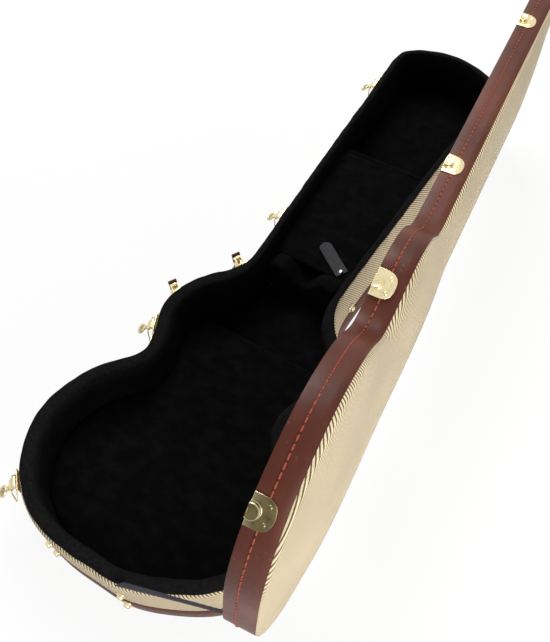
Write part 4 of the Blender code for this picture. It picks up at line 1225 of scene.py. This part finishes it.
def latchPlate():
    x, _, z = latch["leverPivot"]
    flat = [
        (plateMesh(shield(0.015, -0.004, -0.034), 0.00035, 0.00155, 0.0003), standing),
        (plateMesh(shield(0.0122, -0.0065, -0.0312), 0.0014, 0.0019, 0.0002), standing),
        (rivetRow(((0.0118, -0.0085), (-0.0118, -0.0085)), 0.0014, 0.0022, 0.0013), standing),
        (rivetRow(((0.0085, -0.027), (-0.0085, -0.027)), 0.0014, 0.0022, 0.0013), standing),
    ]
    ear = [(0.0012, z - 0.0036), (0.0012, z + 0.0036), (x, z + 0.0036)]
    ear += [
        (x + 0.0036 * math.cos(a), z + 0.0036 * math.sin(a))
        for a in np.linspace(math.pi / 2, -math.pi / 2, 13)
    ]
    for sign in (-1, 1):
        near, far = sorted((sign * 0.0078, sign * 0.0090))
        flat.append((plateMesh(ear, -far, -near, 0.00015), flatToSide))
    flat.append((rodMesh(0.00125, (x, -0.0096, z), (x, 0.0096, z)), None))
    for sign in (-1, 1):
        cap = turnedMesh(((0, 0.0010), (0.0013, 0.0009), (0.0020, 0.0004), (0.0021, 0.0), (0, 0.0)))
        turn = Matrix.Rotation(-sign * math.pi / 2, 4, "X")
        flat.append((cap, Matrix.Translation((x, sign * 0.0090, z)) @ turn))
    return joined("plate", flat)


def latchLever():
    x, _, z = latch["bailPivot"]
    half, reach, disc = 0.0072, 0.029, 0.0085
    paddle = [(0.0056, z + 0.001), (-0.0056, z + 0.001)]
    start = math.asin(0.0046 / disc)
    for a in np.linspace(-start, start - 2 * math.pi, 45)[::-1]:
        paddle.append((disc * math.sin(a + 2 * math.pi), disc * math.cos(a) - reach))
    web = [(-0.0029, z), (-0.0029, 0.0), (0.0006, 0.0022), (0.0014, 0.0), (0.0006, z)]
    dish = (
        (0, 0.0004), (0.0058, 0.0004), (0.0066, 0.0011), (0.0074, 0.0013), (0.0082, 0.0010), (0.0085, 0.0003),
        (0.0082, -0.0006), (0, -0.0006),
    )
    return joined("lever", [
        (rodMesh(0.0029, (0, -half, 0), (0, half, 0), 0.0003), None),
        (rodMesh(0.0027, (x, -half, z), (x, half, z), 0.0003), None),
        (plateMesh(web, -half, half, 0.0003), flatToSide),
        (plateMesh(paddle, -0.0022, -0.0004, 0.0004), standing),
        (turnedMesh(dish, 44), Matrix.Translation((-0.0008, 0, -reach)) @ outwards),
        (
            turnedMesh(((0, -0.0010), (0.0028, -0.0008), (0.0036, 0.0), (0, 0.0006)), 24),
            Matrix.Translation((-0.0016, 0, -reach)) @ outwards,
        ),
    ])


def latchBail():
    half, reach, corner = latch["bailHalf"], latch["bailLength"], 0.0024
    centres = ((half, -reach), (-half, -reach), (-half, 0), (half, 0))
    points = []
    for k, (y, z) in enumerate(centres):
        inside = (math.copysign(half - corner, y), z + corner if z else -corner)
        for t in np.linspace(0, math.pi / 2, 7):
            angle = -k * math.pi / 2 - t
            points.append((0, inside[0] + corner * math.cos(angle), inside[1] + corner * math.sin(angle)))
    return wireMesh(points, 0.0010, closed=True)


def latchKeeper():
    # A plate with a stepped round catch, all cut flat at the rim
    flat = [
        (plateMesh(shield(0.0166, 0.0008, 0.0268), 0.00035, 0.00165, 0.0004), standing),
        (rivetRow(((0.0088, 0.0185), (-0.0088, 0.0185)), 0.0014, 0.0026, 0.0016), standing),
    ]
    profiles = (
        (
            0.0044,
            (
                (0, 0.0034), (0.0086, 0.0034), (0.0092, 0.0031), (0.0094, 0.0024), (0.0094, 0.0012),
                (0, 0.0012),
            ),
        ),
        (0.0042, ((0, 0.0056), (0.0064, 0.0056), (0.0064, 0.0030), (0, 0.0030))),
        (
            0.0044,
            (
                (0, 0.0068), (0.0066, 0.0068), (0.0072, 0.0072), (0.0080, 0.0071), (0.0084, 0.0066),
                (0.0084, 0.0060), (0.0080, 0.0055), (0, 0.0053),
            ),
        ),
    )
    for z, profile in profiles:
        mesh = turnedMesh(profile, 44)
        mesh.transform(Matrix.Translation((0, 0, z)) @ outwards)
        work = bmesh.new()
        work.from_mesh(mesh)
        every = work.verts[:] + work.edges[:] + work.faces[:]
        cut = bmesh.ops.bisect_plane(
            work, geom=every, plane_co=(0, 0, 0.0006), plane_no=(0, 0, -1), clear_outer=True,
        )
        rim = [e for e in cut["geom_cut"] if isinstance(e, bmesh.types.BMEdge)]
        if rim:
            bmesh.ops.contextual_create(work, geom=rim)
        bmesh.ops.recalc_face_normals(work, faces=work.faces)
        work.to_mesh(mesh)
        work.free()
        flat.append((mesh, None))
    return joined("keeper", flat)


def makeLatches():
    shapes = {"plate": latchPlate(), "lever": latchLever(), "bail": latchBail(), "keeper": latchKeeper()}
    leverPivot, bailPivot = (Matrix.Translation(latch[k]) for k in ("leverPivot", "bailPivot"))
    swing = Matrix.Rotation(-math.radians(latch["leverOpen"]), 4, "Y")
    hang = Matrix.Rotation(math.radians(latch["leverOpen"] - latch["bailRest"]), 4, "Y")
    for number in (1, 2, 3, 4):
        wall = hingeFrame(joints[f"lever_{number}_hinge"]) @ leverPivot.inverted()
        lever = wall @ leverPivot @ swing
        metal = "agedBrass" if number in latch["aged"] else "brass"
        for name, body, placing in (
            ("plate", "base", wall), ("lever", f"lever_{number}", lever),
            ("bail", f"bail_{number}", lever @ bailPivot @ hang), ("keeper", "lid", opened @ wall),
        ):
            look = metal if name == "keeper" else "brass"
            node = f"latch_{number}_{name}"
            addPiece(f"catch_{number}_{name}", shapes[name].copy(), look, body, (node,), 35, placing)
    print("latches made")


handle = {
    "gripRadius": 0.0085,
    "reach": 0.05448,
    "top": -0.0153,
    "straight": 0.003,
    "bend": 0.020,
    "tabHalf": 0.0068,
    "tabSection": (
        (0.0040, -0.0195), (0.0042, -0.0020), (0.0044, 0.0026), (0.0058, 0.0044), (0.0078, 0.0042),
        (0.0092, 0.0022), (0.0094, -0.0040), (0.0088, -0.0195),
    ),
}


def makeHandle():
    wall = hingeFrame(joints["handle_hinge"])
    reach, top, bend = handle["reach"], handle["top"], handle["bend"]
    path = [(-reach, top + 0.0004), (-reach, top - handle["straight"] * 0.5)]
    for angle in np.linspace(0, math.pi / 2, 14):
        path.append((bend * (1 - math.cos(angle)) - reach, top - handle["straight"] - bend * math.sin(angle)))
    flat = top - handle["straight"] - bend
    path += [
        (y, flat - 0.0008 * math.cos(y / (reach - bend) * math.pi / 2))
        for y in np.linspace(bend - reach, reach - bend, 16)[1:-1]
    ]
    path += [(-y, z) for y, z in reversed(path[:16])]
    corners, faces = [], []
    around = 28
    spots = [Vector((0, y, z)) for y, z in path]
    runs = [0.0]
    for a, b in zip(spots, spots[1:]):
        runs.append(runs[-1] + (b - a).length)
    for k, spot in enumerate(spots):
        ahead = (spots[min(k + 1, len(spots) - 1)] - spots[max(k - 1, 0)]).normalized()
        side = Vector((1, 0, 0))
        up = ahead.cross(side)
        share = min(runs[k], runs[-1] - runs[k]) / 0.012
        radius = handle["gripRadius"] * (0.82 + 0.18 * float(smoothstep(share, 0, 1)))
        for j in range(around):
            angle = 2 * math.pi * j / around
            corners.append(spot + side * radius * math.cos(angle) + up * radius * math.sin(angle))
    for k in range(len(spots) - 1):
        for j in range(around):
            after = (j + 1) % around
            faces.append((k * around + j, k * around + after, (k + 1) * around + after, (k + 1) * around + j))
    last = (len(spots) - 1) * around
    faces += [tuple(range(around)), tuple(last + j for j in range(around))]
    grip = cleaned(newMesh("grip", corners, faces))
    addPiece("carry_grip", grip, "grip", "handle", ("handle_grip",), placing=wall)
    seam = [s + Vector((-handle["gripRadius"] * 0.985, 0, 0)) for s in spots[3:-3]]
    threads = grown(
        trees["stitch"], edgeMesh(seam), looks["thread"], Pitch=0.0052, Stitch=0.0036, Thread=0.0005,
    )
    addPiece("grip_stitches", threads, "thread", "handle", smoothAngle=180, placing=wall)
    for name, sign in (("tail", 1), ("head", -1)):
        y = sign * reach
        eye = [
            (0.0036 * math.cos(a), 0.0036 * math.sin(a))
            for a in np.linspace(0, 2 * math.pi, 28, endpoint=False)
        ]
        cup = (
            (0, -0.0106), (0.0040, -0.0106), (0.0058, -0.0110), (0.0068, -0.0118), (0.0072, -0.0128),
            (0.0074, -0.0146), (0.0072, -0.0152), (0.0066, -0.0156), (0, -0.0156),
        )
        stem = (
            (0, -0.0010), (0.0026, -0.0012), (0.0024, -0.0070), (0.0030, -0.0104), (0.0034, -0.0112),
            (0, -0.0112),
        )
        ferrule = joined("ferrule", [
            (plateMesh(eye, -y - 0.0034, -y + 0.0034, 0.0004), flatToSide),
            (turnedMesh(cup, 36), Matrix.Translation((0, y, 0))),
            (turnedMesh(stem, 24), Matrix.Translation((0, y, 0))),
        ])
        tabs = plateMesh(handle["tabSection"], -y - handle["tabHalf"], -y + handle["tabHalf"], 0.0007)
        addPiece(f"grip_{name}_tab", tabs, "grip", "handle", smoothAngle=50, placing=wall @ flatToSide)
        addPiece(f"grip_{name}_ferrule", ferrule, "brass", "handle", (f"handle_{name}_ferrule",), 35, wall)
        brokenEdges(f"handle_{name}_bracket", "base", 0.0004)
        pin = joined("pin", [
            (rodMesh(0.0014, (0, y - 0.0064, 0), (0, y + 0.0064, 0)), None),
            (rodMesh(0.0024, (0, y + 0.0058, 0), (0, y + 0.0066, 0), 0.0003), None),
            (rodMesh(0.0024, (0, y - 0.0066, 0), (0, y - 0.0058, 0), 0.0003), None),
        ])
        addPiece(f"handle_{name}_axle", pin, "brass", "base", (f"handle_{name}_pin",), 35, wall)
    print("handle made")


studProfile = (
    (0, 0.0042), (0.0012, 0.0042), (0.0022, 0.0045), (0.0025, 0.0052), (0.0030, 0.0056), (0.0037, 0.0055),
    (
        0.0042, 0.0050,
    ), (0.0046, 0.0042), (0.0048, 0.0032), (0.0049, 0.0020), (0.0054, 0.0015), (0.0066, 0.0013),
    (0.0072, 0.0010), (0.0075, 0.0005), (0.0075, 0), (0, 0),
)


def makeStuds():
    # Each stud sits at its CAD node's place, turned out from the nearest bit of wall
    for node in ("tail_stud_1", "tail_stud_2", "tail_stud_3", "tail_stud_4", "side_stud_1", "side_stud_2"):
        corners = np.array([v.co[:] for v in frame["nodes"][node].data.vertices])
        middle = (corners.min(0) + corners.max(0)) / 2
        nearest = int(((loopOuter - middle[:2]) ** 2).sum(1).argmin())
        outward = Vector((*(-loopInward[nearest]), 0))
        base = float((corners @ np.array(outward)).min())
        spot = Vector(middle) + outward * (base - Vector(middle).dot(outward))
        turn = Matrix((Vector((-outward.y, outward.x, 0)), Vector((0, 0, 1)), outward)).transposed().to_4x4()
        placing = Matrix.Translation(spot) @ turn
        addPiece(node + "_turned", turnedMesh(studProfile, 40), "brass", "base", (node,), 35, placing)
    for name in ("body", "head"):
        for part, body in (("base_leaf", "base"), ("pin", "base"), ("lid_leaf", "lid")):
            brokenEdges(f"hinge_{name}_{part}", body, 0.0002)
    print("studs and hinges made")


makeBase()
makeWallPadding()
makePads()
makeCradle()
makeLedges()
makeTab()
print("inside made")
makeLid()
makeStitches()
makeLatches()
makeHandle()
makeStuds()
makeStay()


# Floor, light and camera
studio = {
    "floorWhite": 0.93,
    "floorGlow": 0.88,
    "worldLight": 0.31,
    "head": {"place": (-0.9, 1.8, 2.7), "size": 1.7, "watts": 92},
    "side": {"place": (1.4, -1.1, 0.85), "size": 0.9, "watts": 23},
}


def makeFloor():
    size = 8.0
    mesh = newMesh(
        "paleFloor", [(-size, -size, 0), (size, -size, 0), (size, size, 0), (-size, size, 0)], [(0, 1, 2, 3)],
    )
    f = Finish("paleFloor", Roughness=0.9)
    grain = f.range(f.noise(f.spot(), 40.0), 0.0, 1.0, 0.985, 1.0)
    white = studio["floorWhite"]
    shade = f.add("VectorMath", {0: (white, white, white), "Scale": grain}, operation="SCALE")
    f.set(f.shader, {"Base Color": shade})
    seen = f.add("LightPath", output=0)
    glossy = f.add("LightPath", output=3)
    glow = f.add("Emission", {"Color": (1, 1, 1, 1), "Strength": 1.0})
    amount = f.math("MAXIMUM", f.math("MULTIPLY", seen, studio["floorGlow"]), f.math("MULTIPLY", glossy, 0.4))
    blend = f.add("MixShader", {0: amount, 1: f.shader.outputs[0], 2: glow})
    f.tree.links.new(blend, f.tree.nodes["Material Output"].inputs["Surface"])
    mesh.materials.append(f.material)
    inScene("paleFloor", mesh)


def makeWorld():
    world = bpy.data.worlds.new("studio")
    bpy.context.scene.world = world
    world.use_nodes = True
    tree = world.node_tree
    tree.nodes.clear()
    path = tree.nodes.new("ShaderNodeLightPath")
    soft = tree.nodes.new("ShaderNodeBackground")
    soft.inputs["Strength"].default_value = studio["worldLight"]
    white = tree.nodes.new("ShaderNodeBackground")
    for node in (soft, white):
        node.inputs["Color"].default_value = (1, 1, 1, 1)
    first = tree.nodes.new("ShaderNodeMath")
    first.operation = "MAXIMUM"
    second = tree.nodes.new("ShaderNodeMath")
    second.operation = "MAXIMUM"
    tree.links.new(path.outputs["Is Camera Ray"], first.inputs[0])
    tree.links.new(path.outputs["Is Glossy Ray"], first.inputs[1])
    tree.links.new(first.outputs[0], second.inputs[0])
    tree.links.new(path.outputs["Is Transmission Ray"], second.inputs[1])
    mix = tree.nodes.new("ShaderNodeMixShader")
    tree.links.new(second.outputs[0], mix.inputs[0])
    tree.links.new(soft.outputs[0], mix.inputs[1])
    tree.links.new(white.outputs[0], mix.inputs[2])
    out = tree.nodes.new("ShaderNodeOutputWorld")
    tree.links.new(mix.outputs[0], out.inputs["Surface"])


def makeLamp(name, place, size, watts):
    lamp = bpy.data.lights.new(name, "AREA")
    lamp.size = size
    lamp.energy = watts
    holder = inScene(name, lamp)
    holder.location = place
    holder.rotation_euler = (Vector((0, 0, 0.1)) - Vector(place)).to_track_quat("-Z", "Y").to_euler()


photoView = {
    "lens": 47.80,
    "shift": (-0.1028, -0.1713),
    "place": (0.4802, -0.6254, 1.2047),
    "turned": (38.413, 2.266, 30.461),
}


def makeCamera():
    camera = bpy.data.cameras.new("photoView")
    camera.sensor_width = 36.0
    camera.lens = photoView["lens"]
    camera.shift_x, camera.shift_y = photoView["shift"]
    holder = inScene("photoView", camera)
    holder.location = photoView["place"]
    holder.rotation_euler = [math.radians(turn) for turn in photoView["turned"]]
    bpy.context.scene.camera = holder


makeFloor()
makeWorld()
for lampName in ("head", "side"):
    makeLamp(lampName + "Lamp", **studio[lampName])
makeCamera()
bpy.context.scene.view_settings.view_transform = "Standard"
